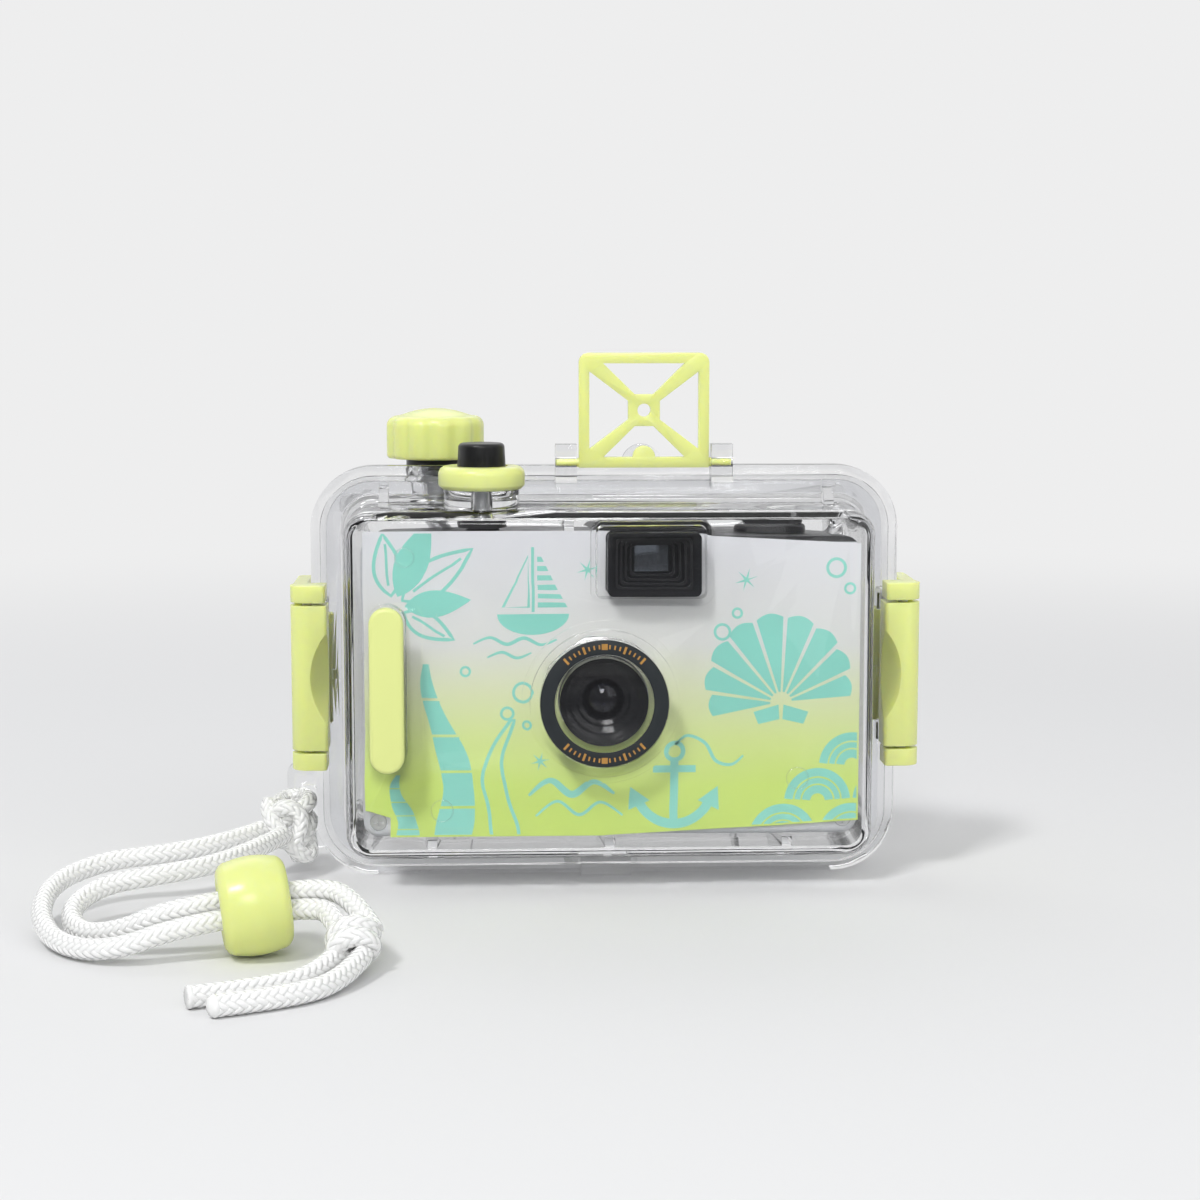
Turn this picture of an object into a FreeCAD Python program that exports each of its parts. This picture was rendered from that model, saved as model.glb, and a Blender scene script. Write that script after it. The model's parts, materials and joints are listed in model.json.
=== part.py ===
"""Underwater camera: a clear two-shell case with a simple 35 mm camera inside.

Millimetres. +Z is up and the lens looks along -Y. The origin lies on the floor, below the
middle of the plane where the two shells meet.
"""

import FreeCAD, Part

import math
import os

V = FreeCAD.Vector

# Case: both shells
case_width = 122.0
case_height = 86.0
case_corner = 13.0
wall = 2.0
box_inset = 7.7
front_depth = 23.0
back_depth = 19.0
front_flange = 3.5
back_flange = 3.5
front_edge_round = 2.0
back_edge_round = 3.0
root_round = 1.2
gusset_from_side = 15.3
rib_half = 1.0
case_half = case_width / 2
box_top = case_height - box_inset
box_bottom = box_inset
roof_inside = box_top - wall
floor_inside = box_bottom + wall
front_inside = -front_depth + wall
back_inside = back_depth - wall

# Fits
running_gap = 0.05
rest_gap = 0.3
slip_gap = 0.2
seat_overlap = 0.5

# Lip of the back shell round the front flange
lip_width = 1.9
lip_height = 2.2
lip_gap = 0.15

# Seal between the flanges
groove_inset = 3.2
groove_width = 3.0
groove_depth = 1.6
seal_side_gap = 0.2

# Inner camera, which stands on ribs in the case
cam_side_room = 1.0
cam_foot_room = 2.3
cam_head_room = 3.3
cam_front_room = 1.0
cam_centre_x = 0.3
cam_depth = 28.8
cover_depth = 19.0
cam_half = case_half - box_inset - wall - cam_side_room
cam_left = cam_centre_x - cam_half
cam_right = cam_centre_x + cam_half
cam_bottom = floor_inside + cam_foot_room
cam_top = roof_inside - cam_head_room
cam_front = front_inside + cam_front_room
cam_seam = cam_front + cover_depth
cam_back = cam_front + cam_depth
cam_wall = 1.6
cam_corner = 3.2
top_thick = 1.2
top_seam = cam_top - top_thick
screw_inset = 3.1
screw_head_radius = 1.6
screw_radius = 0.95

# Optical axes, seen from the front
lens_x = -1.3
lens_z = cam_bottom + 28.0
finder_x = 8.8
finder_drop = 4.9
finder_z = cam_top - finder_drop

# Round lens port
port_radius = 16.5
port_step_radius = 14.9
port_rise = 3.2
port_step = 1.2
port_wall = 1.8
port_window = 1.5
trim_outer = 12.85
trim_inner = 9.95
trim_thickness = 0.5

# Rectangular viewfinder port
view_port_x = finder_x - 0.6
view_port_width = 24.4
view_port_height = 16.8
view_port_round = 2.6
view_port_wall = 1.3
view_port_rise = 3.2

# Finger grip: a pill-shaped boss with a soft pad, and a shallow dish beside it
grip_from_side = 16.4
grip_x = -case_half + grip_from_side
grip_z = lens_z + 3.1
grip_width = 7.6
grip_height = 34.0
grip_boss = 3.2
grip_pad_inset = 0.35
grip_pad_thick = 2.0
grip_pad_round = 0.9
dish_x = grip_x + 7.1
dish_half_width = 15.0
dish_half_height = 23.0
dish_half_depth = 1.8
dish_depth = 1.0
dish_edge_radius = 57.0
dish_edge_x = grip_x + 8.0

# Shutter button of the case
button_from_left = 24.4
button_x = cam_left + button_from_left
button_y = cam_front + 6.7
boss_radius = 7.6
boss_rise = 5.3
boss_top = box_top + boss_rise
guard_radius = 8.75
guard_bore = 5.3
guard_skirt = 1.5
guard_rise = 3.2
guard_round = 1.7
guard_bottom = boss_top - guard_skirt
guard_top = boss_top + guard_rise
cap_radius = 4.95
cap_top_radius = 4.65
cap_rise = 7.8
cap_top = boss_top + cap_rise
cap_ceiling = 1.9
cap_hollow = 3.5
cap_round = 0.9
press_travel = 1.5
stem_radius = 1.5
stem_seat = 0.7
foot_radius = 5.0
foot_thick = 1.5
button_wire = 0.45
button_coil_radius = 2.5
seal_thick = 1.1
seal_room = 1.25

# Wind knob of the case
knob_from_left = 14.6
knob_x = cam_left + knob_from_left
knob_y = cam_back + 3.2
knob_boss_radius = 5.8
knob_boss_rise = 6.2
knob_boss_top = box_top + knob_boss_rise
washer_radius = 6.2
washer_thick = 2.0
knob_radius = 10.35
knob_height = 8.9
knob_bottom = knob_boss_top + washer_thick + rest_gap
knob_shoulder = knob_bottom + knob_height
knob_round = 1.4
knob_dome = 1.6
dome_edge = 7.6
knob_flutes = 12
flute_radius = 4.6
flute_depth = 0.55
shaft_radius = 2.5
shaft_seat = 6.0
clip_radius = 4.4
clip_thick = 0.8
clip_groove = 0.5
clip_mouth = 1.5

# Sports finder
frame_x = 7.65
hinge_y = -front_flange - 2.7
hinge_z = case_height + 0.95
frame_half_width = 13.35
frame_bar = 2.15
frame_thick = 2.2
frame_rise = 22.35
frame_corner = 2.0
frame_top = hinge_z + frame_rise
hub_rise = 10.65
hub_z = hinge_z + hub_rise
hub_half = 3.25
hub_hole = 1.35
brace_top_half = 8.35
brace_side_half = 7.9
hub_flat_half = 1.9
tab_radius = 2.3
finder_pin_radius = 0.93
finder_pin_length = 4.0
ear_gap = 0.45
ear_width = 4.4
ear_rise = 3.75
ear_top = hinge_z + ear_rise
ear_bottom = case_height - 4.5
ear_front = hinge_y - 2.1
ear_bore_radius = finder_pin_radius + running_gap
sight_radius = 4.2
sight_thick = 2.4

# Side latches, given for the side where X is positive
latch_z = case_height / 2
lever_height = 30.0
knuckle_gap = 0.6
knuckle_height = 3.5
lever_radius = 3.45
lever_rear_gap = 0.35
nose_gap = 0.25
lever_pin_x = case_half + 0.5
lever_pin_y = -front_flange - nose_gap - lever_radius
lever_inner_x = lever_pin_x - 4.1
scoop_height = 19.0
scoop_depth = 3.5
scoop_offset = 6.0
yoke_barrel_radius = 2.7
yoke_barrel_height = 23.0
yoke_pin_x = case_half - 1.8
yoke_pin_y = back_flange + 3.9
yoke_web_gap = 0.6
yoke_web_thick = 2.9
yoke_web_inner = case_half + yoke_web_gap
yoke_web_outer = yoke_web_inner + yoke_web_thick
yoke_web_rear = yoke_pin_y + 2.6
yoke_jaw_inner = lever_inner_x + 0.3
ear_pin_radius = 2.0
ear_pin_height = 3.6
ear_pin_gap = 0.3
latch_pin_radius = 1.0
latch_pin_end = 1.2
cam_stop_x = lever_inner_x - 1.5
cam_stop_width = 0.9

# Strap lug at the lower left, and the foot under the middle
lug_reach = 5.8
lug_outer_x = case_half + lug_reach
lug_low = 5.2
lug_height = 18.2
lug_high = lug_low + lug_height
lug_round = 2.2
lug_bar = 2.3
slot_width = 4.1
slot_height = 10.3
slot_round = 0.8
slot_outer_x = lug_outer_x - lug_bar
slot_inner_x = slot_outer_x - slot_width
slot_low = lug_low + 3.1
slot_high = slot_low + slot_height
lug_thick = 3.4
foot_width = 10.5
foot_front = 5.6
foot_height = 2.6

# Raised roof over the viewfinder, and the printed sheet
hump_half_width = 11.4
hump_rise = 2.7
hump_top = cam_top + hump_rise
sleeve_thick = 0.35
sleeve_left = cam_left + 0.6
sleeve_right = cam_right
sleeve_bottom = cam_bottom + 0.1
sleeve_top = cam_top + 1.2
sleeve_drop = 2.7
sleeve_notch = 5.0
sleeve_notch_height = 5.6
sleeve_cut = 1.6

# Lens and shutter
barrel_radius = 8.8
sleeve_hole = barrel_radius + 0.18
barrel_front = cam_front - 3.9
barrel_rear = cam_front + 6.0
barrel_lip = 0.55
element_radius = 3.9
element_front = cam_front + 0.4
collar_radius = 10.6
collar_thick = 1.2
chassis_front = cam_front + 7.8
film_plane = cam_front + 24.5
shutter_plate_thick = 0.8
shutter_plate_half = 9.0
aperture_radius = 1.9
blade_thick = 0.3
blade_gap = 0.2
blade_pivot_dx = 6.4
blade_pivot_dz = -4.2
blade_pin_radius = 0.8
blade_hub_radius = 1.7

# Viewfinder of the inner camera
bezel_half_width = 9.3
bezel_half_height = 6.35
bezel_drop = 0.45
bezel_z = finder_z - bezel_drop
bezel_front = cam_front - 4.2
bezel_rim = 0.8
window_half_width = 3.4
window_half_height = 2.7
funnel_depth = 6.0
window_thick = 1.0
eyepiece_half_width = 6.0
eyepiece_half_height = 4.4
eyepiece_rise = 1.8
eyepiece_rim = 1.4

# Film transport
gear_module = 0.8
gear_teeth = 10
wheel_teeth = 21
wheel_from_left = 11.6
wheel_x = cam_left + wheel_from_left
wheel_thick = 3.6
wheel_bottom = cam_top - 8.0
wheel_bore = 2.0
wheel_seat = 2.5
pressure_angle = 24.0
backlash = 0.22
spool_radius = 6.2
spool_core = 4.5
spool_room = 0.8
spool_rim = 1.5
spool_bottom = cam_bottom + 9.0
spool_top = wheel_bottom - 2.0
sprocket_from_left = 25.0
sprocket_x = cam_left + sprocket_from_left
sprocket_radius = 6.05
sprocket_tooth = 0.85
sprocket_half = 18.0
sprocket_bottom = lens_z - sprocket_half
sprocket_top = lens_z + sprocket_half
sprocket_teeth = 8
film_height = 35.0
journal_radius = 1.5
journal_length = 4.0
cartridge_from_right = 17.1
cartridge_x = cam_right - cartridge_from_right
cartridge_y = cam_front + 14.4
cartridge_radius = 12.6
chamber_bottom = cam_bottom + 5.0
chamber_top = cam_top - 7.0
film_window_half_width = 2.0
film_window_half_height = 16.0
film_window_x = cartridge_x - 2.5
gate_width = 34.5
gate_height = 24.0
plate_thick = 0.8
leaf_thick = 0.3
leaf_half_length = 13.0
leaf_height = 10.0
rewind_radius = 7.4
rewind_thick = 2.4
rewind_shaft_radius = 2.2
rewind_seat = 1.2
release_radius = 3.6
release_rise = 1.2
release_top = cam_top + release_rise
release_height = 5.2
release_coil_height = 4.4
release_wire = 0.4
release_coil_radius = 2.4

# Cord: diameter, and the routes as points that each strand is led by
cord_diameter = 4.0
hitch_diameter = 3.6
bead_length = 12.8
bead_radius = 9.2
bead_shoulder = 4.9
bead_shoulder_radius = 8.0
bead_end_radius = 6.2
bead_bore = 4.3
bead_centre = V(-67.6, -65.0, 9.6)
bead_yaw = 10.0
bead_pitch = 6.0

outer_route = [
    (-69.0, -2.0, 10.8),
    (-76.5, -14.0, 10.3),
    (-88.0, -22.5, 9.7),
    (-101.2, -24.5, 8.8),
    (-110.1, -34.5, 6.8),
    (-110.0, -50.0, 4.0),
    (-103.6, -64.0, 2.0),
    (-92.5, -72.0, 3.1),
    (-80.82, -68.93, 6.86),
    (-56.0, -64.56, 9.51),
    (-52.4, -70.4, 8.0),
    (-50.6, -76.0, 6.0),
]
inner_route = [
    (-67.0, -7.5, 9.9),
    (-71.5, -20.5, 9.8),
    (-79.5, -33.0, 9.4),
    (-90.5, -38.5, 8.8),
    (-99.6, -38.5, 7.2),
    (-104.8, -47.0, 4.6),
    (-101.0, -58.0, 2.7),
    (-92.5, -64.0, 4.6),
    (-82.78, -66.04, 9.32),
    (-56.0, -61.32, 12.18),
    (-49.4, -65.4, 10.8),
    (-45.4, -74.2, 7.1),
]
back_tail_route = [
    (-50.5, -77.1, 4.6),
    (-54.0, -85.0, 2.6),
    (-61.0, -92.7, 2.1),
    (-75.8, -98.2, 2.1),
]
front_tail_route = [
    (-46.9, -80.2, 4.2),
    (-50.0, -89.5, 2.2),
    (-58.2, -98.8, 2.1),
    (-70.9, -103.6, 2.1),
]
knot_centre = V(-48.9, -77.0, 5.4)
knot_radius = 5.3

# Values that follow from the sizes above
gear_pitch_radius = gear_module * gear_teeth / 2
wheel_pitch_radius = gear_module * wheel_teeth / 2
gear_distance = gear_pitch_radius + wheel_pitch_radius
wheel_y = knob_y - math.sqrt(gear_distance**2 - (wheel_x - knob_x) ** 2)
sprocket_y = film_plane - sprocket_radius


def box(x0, x1, y0, y1, z0, z1):
    return Part.makeBox(x1 - x0, y1 - y0, z1 - z0, V(x0, y0, z0))


def rod_z(x, y, radius, z0, z1):
    return Part.makeCylinder(radius, z1 - z0, V(x, y, z0), V(0, 0, 1))


def rod_y(x, z, radius, y0, y1):
    return Part.makeCylinder(radius, y1 - y0, V(x, y0, z), V(0, 1, 0))


def rod_x(y, z, radius, x0, x1):
    return Part.makeCylinder(radius, x1 - x0, V(x0, y, z), V(1, 0, 0))


def tube_z(x, y, outer, inner, z0, z1):
    return rod_z(x, y, outer, z0, z1).cut(rod_z(x, y, inner, z0 - 1, z1 + 1))


def tube_y(x, z, outer, inner, y0, y1):
    return rod_y(x, z, outer, y0, y1).cut(rod_y(x, z, inner, y0 - 1, y1 + 1))


def joined(first, *others):
    return first.multiFuse(list(others)).removeSplitter()


def prism(points, direction):
    corners = [V(*p) for p in points]
    return Part.Face(Part.makePolygon(corners + corners[:1])).extrude(V(*direction))


def corner_arc(cx, cz, radius, start):
    """A quarter turn in the XZ plane, from the angle start in degrees."""
    at = [math.radians(start + step) for step in (0, 45, 90)]
    return Part.Arc(*[V(cx + radius * math.cos(a), 0, cz + radius * math.sin(a)) for a in at]).toShape()


def rounded(x0, x1, z0, z1, radius, y0, y1):
    """A rounded rectangle seen from the front, from y0 back to y1."""
    r = min(radius, (x1 - x0) / 2 - 0.01, (z1 - z0) / 2 - 0.01)
    centres = [(x1 - r, z1 - r), (x0 + r, z1 - r), (x0 + r, z0 + r), (x1 - r, z0 + r)]
    arcs = [corner_arc(cx, cz, r, 90 * i) for i, (cx, cz) in enumerate(centres)]
    edges = []
    for i, arc in enumerate(arcs):
        edges.append(arc)
        following = arcs[(i + 1) % 4]
        edges.append(Part.LineSegment(arc.Vertexes[1].Point, following.Vertexes[0].Point).toShape())
    face = Part.Face(Part.Wire(edges))
    face.translate(V(0, y0, 0))
    return face.extrude(V(0, y1 - y0, 0))


def case_outline(inset, y0, y1):
    """The outline of the case, moved inwards by inset."""
    half = case_width / 2 - inset
    return rounded(-half, half, inset, case_height - inset, max(case_corner - inset, 1.0), y0, y1)


def edges_at_y(shape, y):
    """The edges that lie in the plane across Y at y."""
    return [e for e in shape.Edges if all(abs(v.Y - y) < 1e-4 for v in e.Vertexes)
            and abs(e.valueAt((e.FirstParameter + e.LastParameter) / 2).y - y) < 1e-4]


def edges_at_z(shape, z):
    return [e for e in shape.Edges if all(abs(v.Z - z) < 1e-4 for v in e.Vertexes)
            and abs(e.valueAt((e.FirstParameter + e.LastParameter) / 2).z - z) < 1e-4]


def on_side(shape, side):
    """The latch parts are drawn for +X. side is 1 for that one and -1 for its mirror image."""
    return shape if side > 0 else shape.mirror(V(0, 0, 0), V(1, 0, 0))


def ellipsoid(centre, rx, ry, rz):
    ball = Part.makeSphere(1.0)
    shape = ball.transformGeometry(FreeCAD.Matrix(rx, 0, 0, centre.x, 0, ry, 0, centre.y,
                                                  0, 0, rz, centre.z, 0, 0, 0, 1))
    return shape


# Front shell


def finger_dish():
    """A shallow dish for the fingertips that ends at an arc drawn round the lens side."""
    bowl = ellipsoid(V(dish_x, -front_depth - dish_half_depth + dish_depth, grip_z),
                     dish_half_width, dish_half_depth, dish_half_height)
    beyond = rod_y(dish_edge_x + dish_edge_radius, grip_z, dish_edge_radius,
                   -front_depth - dish_half_depth, -front_depth + 2 * dish_half_depth)
    return bowl.cut(beyond)


def lens_port_solid():
    base = rod_y(lens_x, lens_z, port_radius, -front_depth - port_step, -front_depth + wall)
    nose = rod_y(lens_x, lens_z, port_step_radius, -front_depth - port_rise, -front_depth)
    return joined(base, nose)


def lens_port_hollow():
    inside = -front_depth - port_rise + port_window
    seat = tube_y(lens_x, lens_z, trim_outer + lip_gap, trim_inner - lip_gap,
                  -front_depth - port_rise - 1, -front_depth - port_rise + trim_thickness)
    return rod_y(lens_x, lens_z, port_step_radius - port_wall, inside, front_inside + 1), seat


def view_port(grow, y0, y1):
    half_width = view_port_width / 2 + grow
    half_height = view_port_height / 2 + grow
    return rounded(view_port_x - half_width, view_port_x + half_width, finder_z - half_height,
                   finder_z + half_height, view_port_round + grow, y0, y1)


def grip_outline(inset, y0, y1):
    half = grip_width / 2 - inset
    return rounded(grip_x - half, grip_x + half, grip_z - grip_height / 2 + inset,
                   grip_z + grip_height / 2 - inset, half, y0, y1)


def finder_ear_spans():
    left = frame_x - frame_half_width - ear_gap
    right = frame_x + frame_half_width + ear_gap
    return [(left - ear_width, left), (right, right + ear_width)]


def finder_ears():
    ears = []
    for x0, x1 in finder_ear_spans():
        ears.append(box(x0, x1, ear_front, -front_flange + 1, ear_bottom, case_height - lip_width - 1))
        ears.append(box(x0, x1, ear_front, -front_flange, ear_bottom, ear_top))
    return ears


def gusset(x):
    """A small web that braces the flange on the roof of the front box."""
    y0 = -front_flange
    return prism([(x - 1, y0 + 0.5, box_top - 0.5), (x - 1, y0 - 5.0, box_top - 0.5),
                  (x - 1, y0 - 5.0, box_top + 0.6), (x - 1, y0, box_top + 4.6),
                  (x - 1, y0 + 0.5, box_top + 4.6)], (2, 0, 0))


def front_locators():
    """Ribs inside the front shell that the inner camera stands on and lies against."""
    side = cam_half - 14.3
    low = [box(x - rib_half, x + rib_half, front_inside - seat_overlap, -lip_height, floor_inside - seat_overlap,
               cam_bottom - rest_gap) for x in (-side, 0, side)]
    high = [box(x - rib_half, x + rib_half, cam_front + 2, -lip_height, cam_top + rest_gap,
                roof_inside + seat_overlap) for x in (finder_x - hump_half_width - 5.4, cam_right - 4.6)]
    return low + high


def front_shell():
    flange = case_outline(lip_width + lip_gap, -front_flange, 0)
    hull = case_outline(box_inset, -front_depth, 0)
    hull = hull.makeFillet(front_edge_round, edges_at_y(hull, -front_depth))
    shell = joined(flange, hull)
    roots = [e for e in edges_at_y(shell, -front_flange)
             if abs(e.BoundBox.XMax) < case_width / 2 - box_inset + 0.1
             and abs(e.BoundBox.XMin) < case_width / 2 - box_inset + 0.1
             and e.BoundBox.ZMin > box_inset - 0.1 and e.BoundBox.ZMax < box_top + 0.1]
    shell = shell.makeFillet(root_round, roots)
    shell = shell.cut(finger_dish())
    grip = grip_outline(0, -front_depth - grip_boss, -front_depth + 1)
    foot_x0, foot_x1 = -foot_width / 2, foot_width / 2
    extras = [
        lens_port_solid(),
        view_port(0, -front_depth - view_port_rise, -front_depth + 1),
        grip,
        rod_z(button_x, button_y, boss_radius, box_top - 1, boss_top),
        box(foot_x0, foot_x1, -foot_front, -lip_height - lip_gap, 0, lip_width + foot_height),
        gusset(-case_half + gusset_from_side),
        gusset(case_half - gusset_from_side),
    ]
    for side in (-1, 1):
        stop = box(cam_stop_x, cam_stop_x + cam_stop_width, -front_flange - 0.8, -front_flange + 0.5,
                   latch_z - 1, latch_z + 1)
        extras.append(on_side(stop, side))
    shell = joined(shell, *(extras + finder_ears()))
    hollow = case_outline(box_inset + wall, front_inside, 1)
    tunnel, seat = lens_port_hollow()
    window = view_port(-view_port_wall, -front_depth - view_port_rise + port_window, front_inside + 1)
    shell = shell.cut(hollow.multiFuse([tunnel, window])).cut(seat)
    shell = joined(shell, *front_locators())
    bores = [rod_z(button_x, button_y, stem_radius + running_gap, roof_inside - 1, boss_top + 1),
             rod_z(button_x, button_y, stem_radius + seal_room, roof_inside - 1, roof_inside + seal_thick + slip_gap)]
    for x0, x1 in finder_ear_spans():
        bores.append(rod_x(hinge_y, hinge_z, ear_bore_radius, x0 - 1, x1 + 1))
    return shell.cut(bores[0].multiFuse(bores[1:]))


# Back shell


def seal_band(inset0, inset1, y0, y1):
    return case_outline(inset0, y0, y1).cut(case_outline(inset1, y0 - 1, y1 + 1))


def strap_lug():
    lug = rounded(-lug_outer_x, -case_width / 2 + 3, lug_low, lug_high, lug_round, back_flange - lug_thick,
                  back_flange)
    return lug


def strap_slot():
    return rounded(-slot_outer_x, -slot_inner_x, slot_low, slot_high, slot_round, -lip_height - 1,
                   back_flange + 1)


def latch_ears(side):
    """Two ears behind the flange that carry the pin of a latch."""
    half = yoke_barrel_height / 2 + ear_pin_gap
    ears = []
    for z0 in (latch_z - half - ear_pin_height, latch_z + half):
        stalk = box(yoke_pin_x - ear_pin_radius, yoke_pin_x + ear_pin_radius, back_flange - 0.5, yoke_pin_y,
                    z0, z0 + ear_pin_height)
        ears.append(on_side(joined(stalk, rod_z(yoke_pin_x, yoke_pin_y, ear_pin_radius, z0,
                                                z0 + ear_pin_height)), side))
    return ears


def back_locators():
    """Ribs inside the back shell that hold the inner camera forwards and up."""
    depth = back_inside + seat_overlap
    back = [box(x - rib_half, x + rib_half, cam_back + rest_gap, depth, lens_z - 20, lens_z + 20)
            for x in (cam_left + 26, cam_right - 8.6)]
    side = cam_half - 20.3
    low = [box(x - rib_half, x + rib_half, groove_depth, depth, floor_inside - seat_overlap, cam_bottom - rest_gap)
           for x in (-side, side)]
    return back + low


def foot_rail():
    return box(-foot_width / 2, foot_width / 2, back_flange - 0.5, back_depth - 1.5, 0, box_bottom + 0.5)


def rear_sight():
    """A half-round sight that stands on the flange, behind the sports finder."""
    y0 = back_flange - sight_thick
    disc = rod_y(frame_x, case_height, sight_radius, y0, back_flange)
    return disc.common(box(frame_x - 10, frame_x + 10, y0 - 1, back_flange + 1, case_height - 1, 120))


def back_shell():
    flange = case_outline(0, -lip_height, back_flange)
    hull = case_outline(box_inset, 0, back_depth)
    hull = hull.makeFillet(back_edge_round, edges_at_y(hull, back_depth))
    shell = joined(flange, hull)
    extras = [strap_lug(), rod_z(knob_x, knob_y, knob_boss_radius, box_top - 1, knob_boss_top), foot_rail(),
              rear_sight()]
    for side in (-1, 1):
        extras += latch_ears(side)
    shell = joined(shell, *extras)
    pocket = case_outline(lip_width, -lip_height - 1, 0)
    hollow = case_outline(box_inset + wall, -1, back_inside)
    groove = seal_band(groove_inset, groove_inset + groove_width, -0.5, groove_depth)
    front_foot = box(-foot_width / 2 - lip_gap, foot_width / 2 + lip_gap, -lip_height - 1, -lip_height + 0.01,
                     -1, lip_width + 1)
    shell = shell.cut(pocket.multiFuse([hollow, groove, front_foot]))
    shell = joined(shell, *back_locators())
    cuts = [strap_slot(),
            rod_z(knob_x, knob_y, shaft_radius + running_gap, roof_inside - 1, knob_boss_top + 1),
            rod_z(knob_x, knob_y, shaft_radius + seal_room, knob_boss_top - seal_thick - rest_gap,
                  knob_boss_top + 1)]
    for side in (-1, 1):
        pin = rod_z(yoke_pin_x, yoke_pin_y, latch_pin_radius, latch_z - yoke_barrel_height,
                    latch_z + yoke_barrel_height)
        cuts.append(on_side(pin, side))
    return shell.cut(cuts[0].multiFuse(cuts[1:]))


def seal_ring():
    return seal_band(groove_inset + seal_side_gap, groove_inset + groove_width - seal_side_gap, 0, groove_depth)


def grip_pad():
    front = -front_depth - grip_boss - grip_pad_thick
    pad = grip_outline(grip_pad_inset, front, -front_depth - grip_boss)
    return pad.makeFillet(grip_pad_round, edges_at_y(pad, front))


def lens_trim_ring():
    front = -front_depth - port_rise
    return tube_y(lens_x, lens_z, trim_outer, trim_inner, front, front + trim_thickness)


# Shutter button of the case


def button_guard_ring():
    ring = rod_z(button_x, button_y, guard_radius, guard_bottom, guard_top)
    ring = ring.makeFillet(guard_round, edges_at_z(ring, guard_top))
    ring = ring.makeChamfer(guard_round / 2, edges_at_z(ring, guard_bottom))
    seat = rod_z(button_x, button_y, boss_radius + running_gap, guard_bottom - 1, boss_top)
    return ring.cut(seat).cut(rod_z(button_x, button_y, guard_bore, boss_top - 1, guard_top + 1))


def button_cap():
    bottom = boss_top + press_travel + slip_gap
    cap = Part.makeCone(cap_radius, cap_top_radius, cap_top - bottom, V(button_x, button_y, bottom))
    cap = cap.makeFillet(cap_round, edges_at_z(cap, cap_top))
    hollow = rod_z(button_x, button_y, cap_hollow, bottom - 1, cap_top - cap_ceiling)
    return cap.cut(hollow)


def button_stem():
    return rod_z(button_x, button_y, stem_radius, foot_level() + stem_seat, cap_top - cap_ceiling)


def foot_level():
    return roof_inside - rest_gap - foot_thick


def button_foot():
    disc = rod_z(button_x, button_y, foot_radius, foot_level(), foot_level() + foot_thick)
    return disc.cut(rod_z(button_x, button_y, stem_radius, foot_level() + stem_seat, roof_inside))


def coil(x, y, radius, wire, z0, z1, turns):
    """A compression spring of six-sided wire between z0 and z1."""
    height = z1 - z0 - wire
    helix = Part.makeHelix(height / turns, height, radius)
    start = helix.Vertexes[0].Point
    at = [math.radians(60 * i) for i in range(7)]
    profile = Part.makePolygon([start + V(wire / 2 * math.cos(a), 0, wire / 2 * math.sin(a)) for a in at])
    spring = Part.Wire(helix.Edges).makePipeShell([profile], True, True)
    spring.translate(V(x, y, z0 + wire / 2))
    return spring


def button_spring():
    return coil(button_x, button_y, button_coil_radius, button_wire, boss_top + running_gap,
                cap_top - cap_ceiling - running_gap, 4)


def square_seal(x, y, inner, z):
    """A seal of square section round a rod."""
    return tube_z(x, y, inner + seal_thick, inner, z, z + seal_thick)


def button_seal():
    return square_seal(button_x, button_y, stem_radius + running_gap, roof_inside + slip_gap / 2)


# Wind knob of the case


def wind_knob():
    body = rod_z(knob_x, knob_y, knob_radius, knob_bottom, knob_shoulder)
    body = body.makeFillet(knob_round, edges_at_z(body, knob_shoulder))
    body = body.makeChamfer(knob_round / 2, edges_at_z(body, knob_bottom))
    dome_radius = (dome_edge**2 + knob_dome**2) / (2 * knob_dome)
    dome = Part.makeSphere(dome_radius, V(knob_x, knob_y, knob_shoulder + knob_dome - dome_radius))
    dome = dome.common(rod_z(knob_x, knob_y, dome_edge, knob_shoulder - 0.5, knob_shoulder + knob_dome + 1))
    body = joined(body, dome)
    reach = knob_radius + flute_radius - flute_depth
    flutes = []
    for i in range(knob_flutes):
        a = 2 * math.pi * (i + 0.5) / knob_flutes
        flutes.append(rod_z(knob_x + reach * math.cos(a), knob_y + reach * math.sin(a), flute_radius,
                            knob_bottom - 1, knob_shoulder + 1))
    body = body.cut(flutes[0].multiFuse(flutes[1:]))
    return body.cut(rod_z(knob_x, knob_y, shaft_radius, knob_bottom - 1, knob_bottom + shaft_seat))


def knob_shaft():
    shaft = rod_z(knob_x, knob_y, shaft_radius, wheel_bottom - 0.8, knob_bottom + shaft_seat)
    groove = tube_z(knob_x, knob_y, shaft_radius + 1, shaft_radius - clip_groove, clip_level(),
                    clip_level() + clip_thick)
    return shaft.cut(groove)


def clip_level():
    return roof_inside - rest_gap - clip_thick


def knob_clip():
    ring = tube_z(knob_x, knob_y, clip_radius, shaft_radius - clip_groove, clip_level(), clip_level() + clip_thick)
    mouth = box(knob_x - clip_mouth, knob_x + clip_mouth, knob_y, knob_y + clip_radius + 1, clip_level() - 1,
                roof_inside)
    return ring.cut(mouth)


def knob_washer():
    return tube_z(knob_x, knob_y, washer_radius, shaft_radius + running_gap, knob_boss_top,
                  knob_boss_top + washer_thick)


def knob_seal():
    return square_seal(knob_x, knob_y, shaft_radius + running_gap, knob_boss_top - seal_thick - slip_gap / 2)


def tooth_half_angle(radius, pitch_radius, half_at_pitch):
    """Half the angle that an involute tooth fills at radius."""
    base = pitch_radius * math.cos(math.radians(pressure_angle))
    at = max(radius, base)
    turn = math.acos(min(1.0, base / at))
    pitch_turn = math.radians(pressure_angle)
    return half_at_pitch + (math.tan(pitch_turn) - pitch_turn) - (math.tan(turn) - turn)


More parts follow.
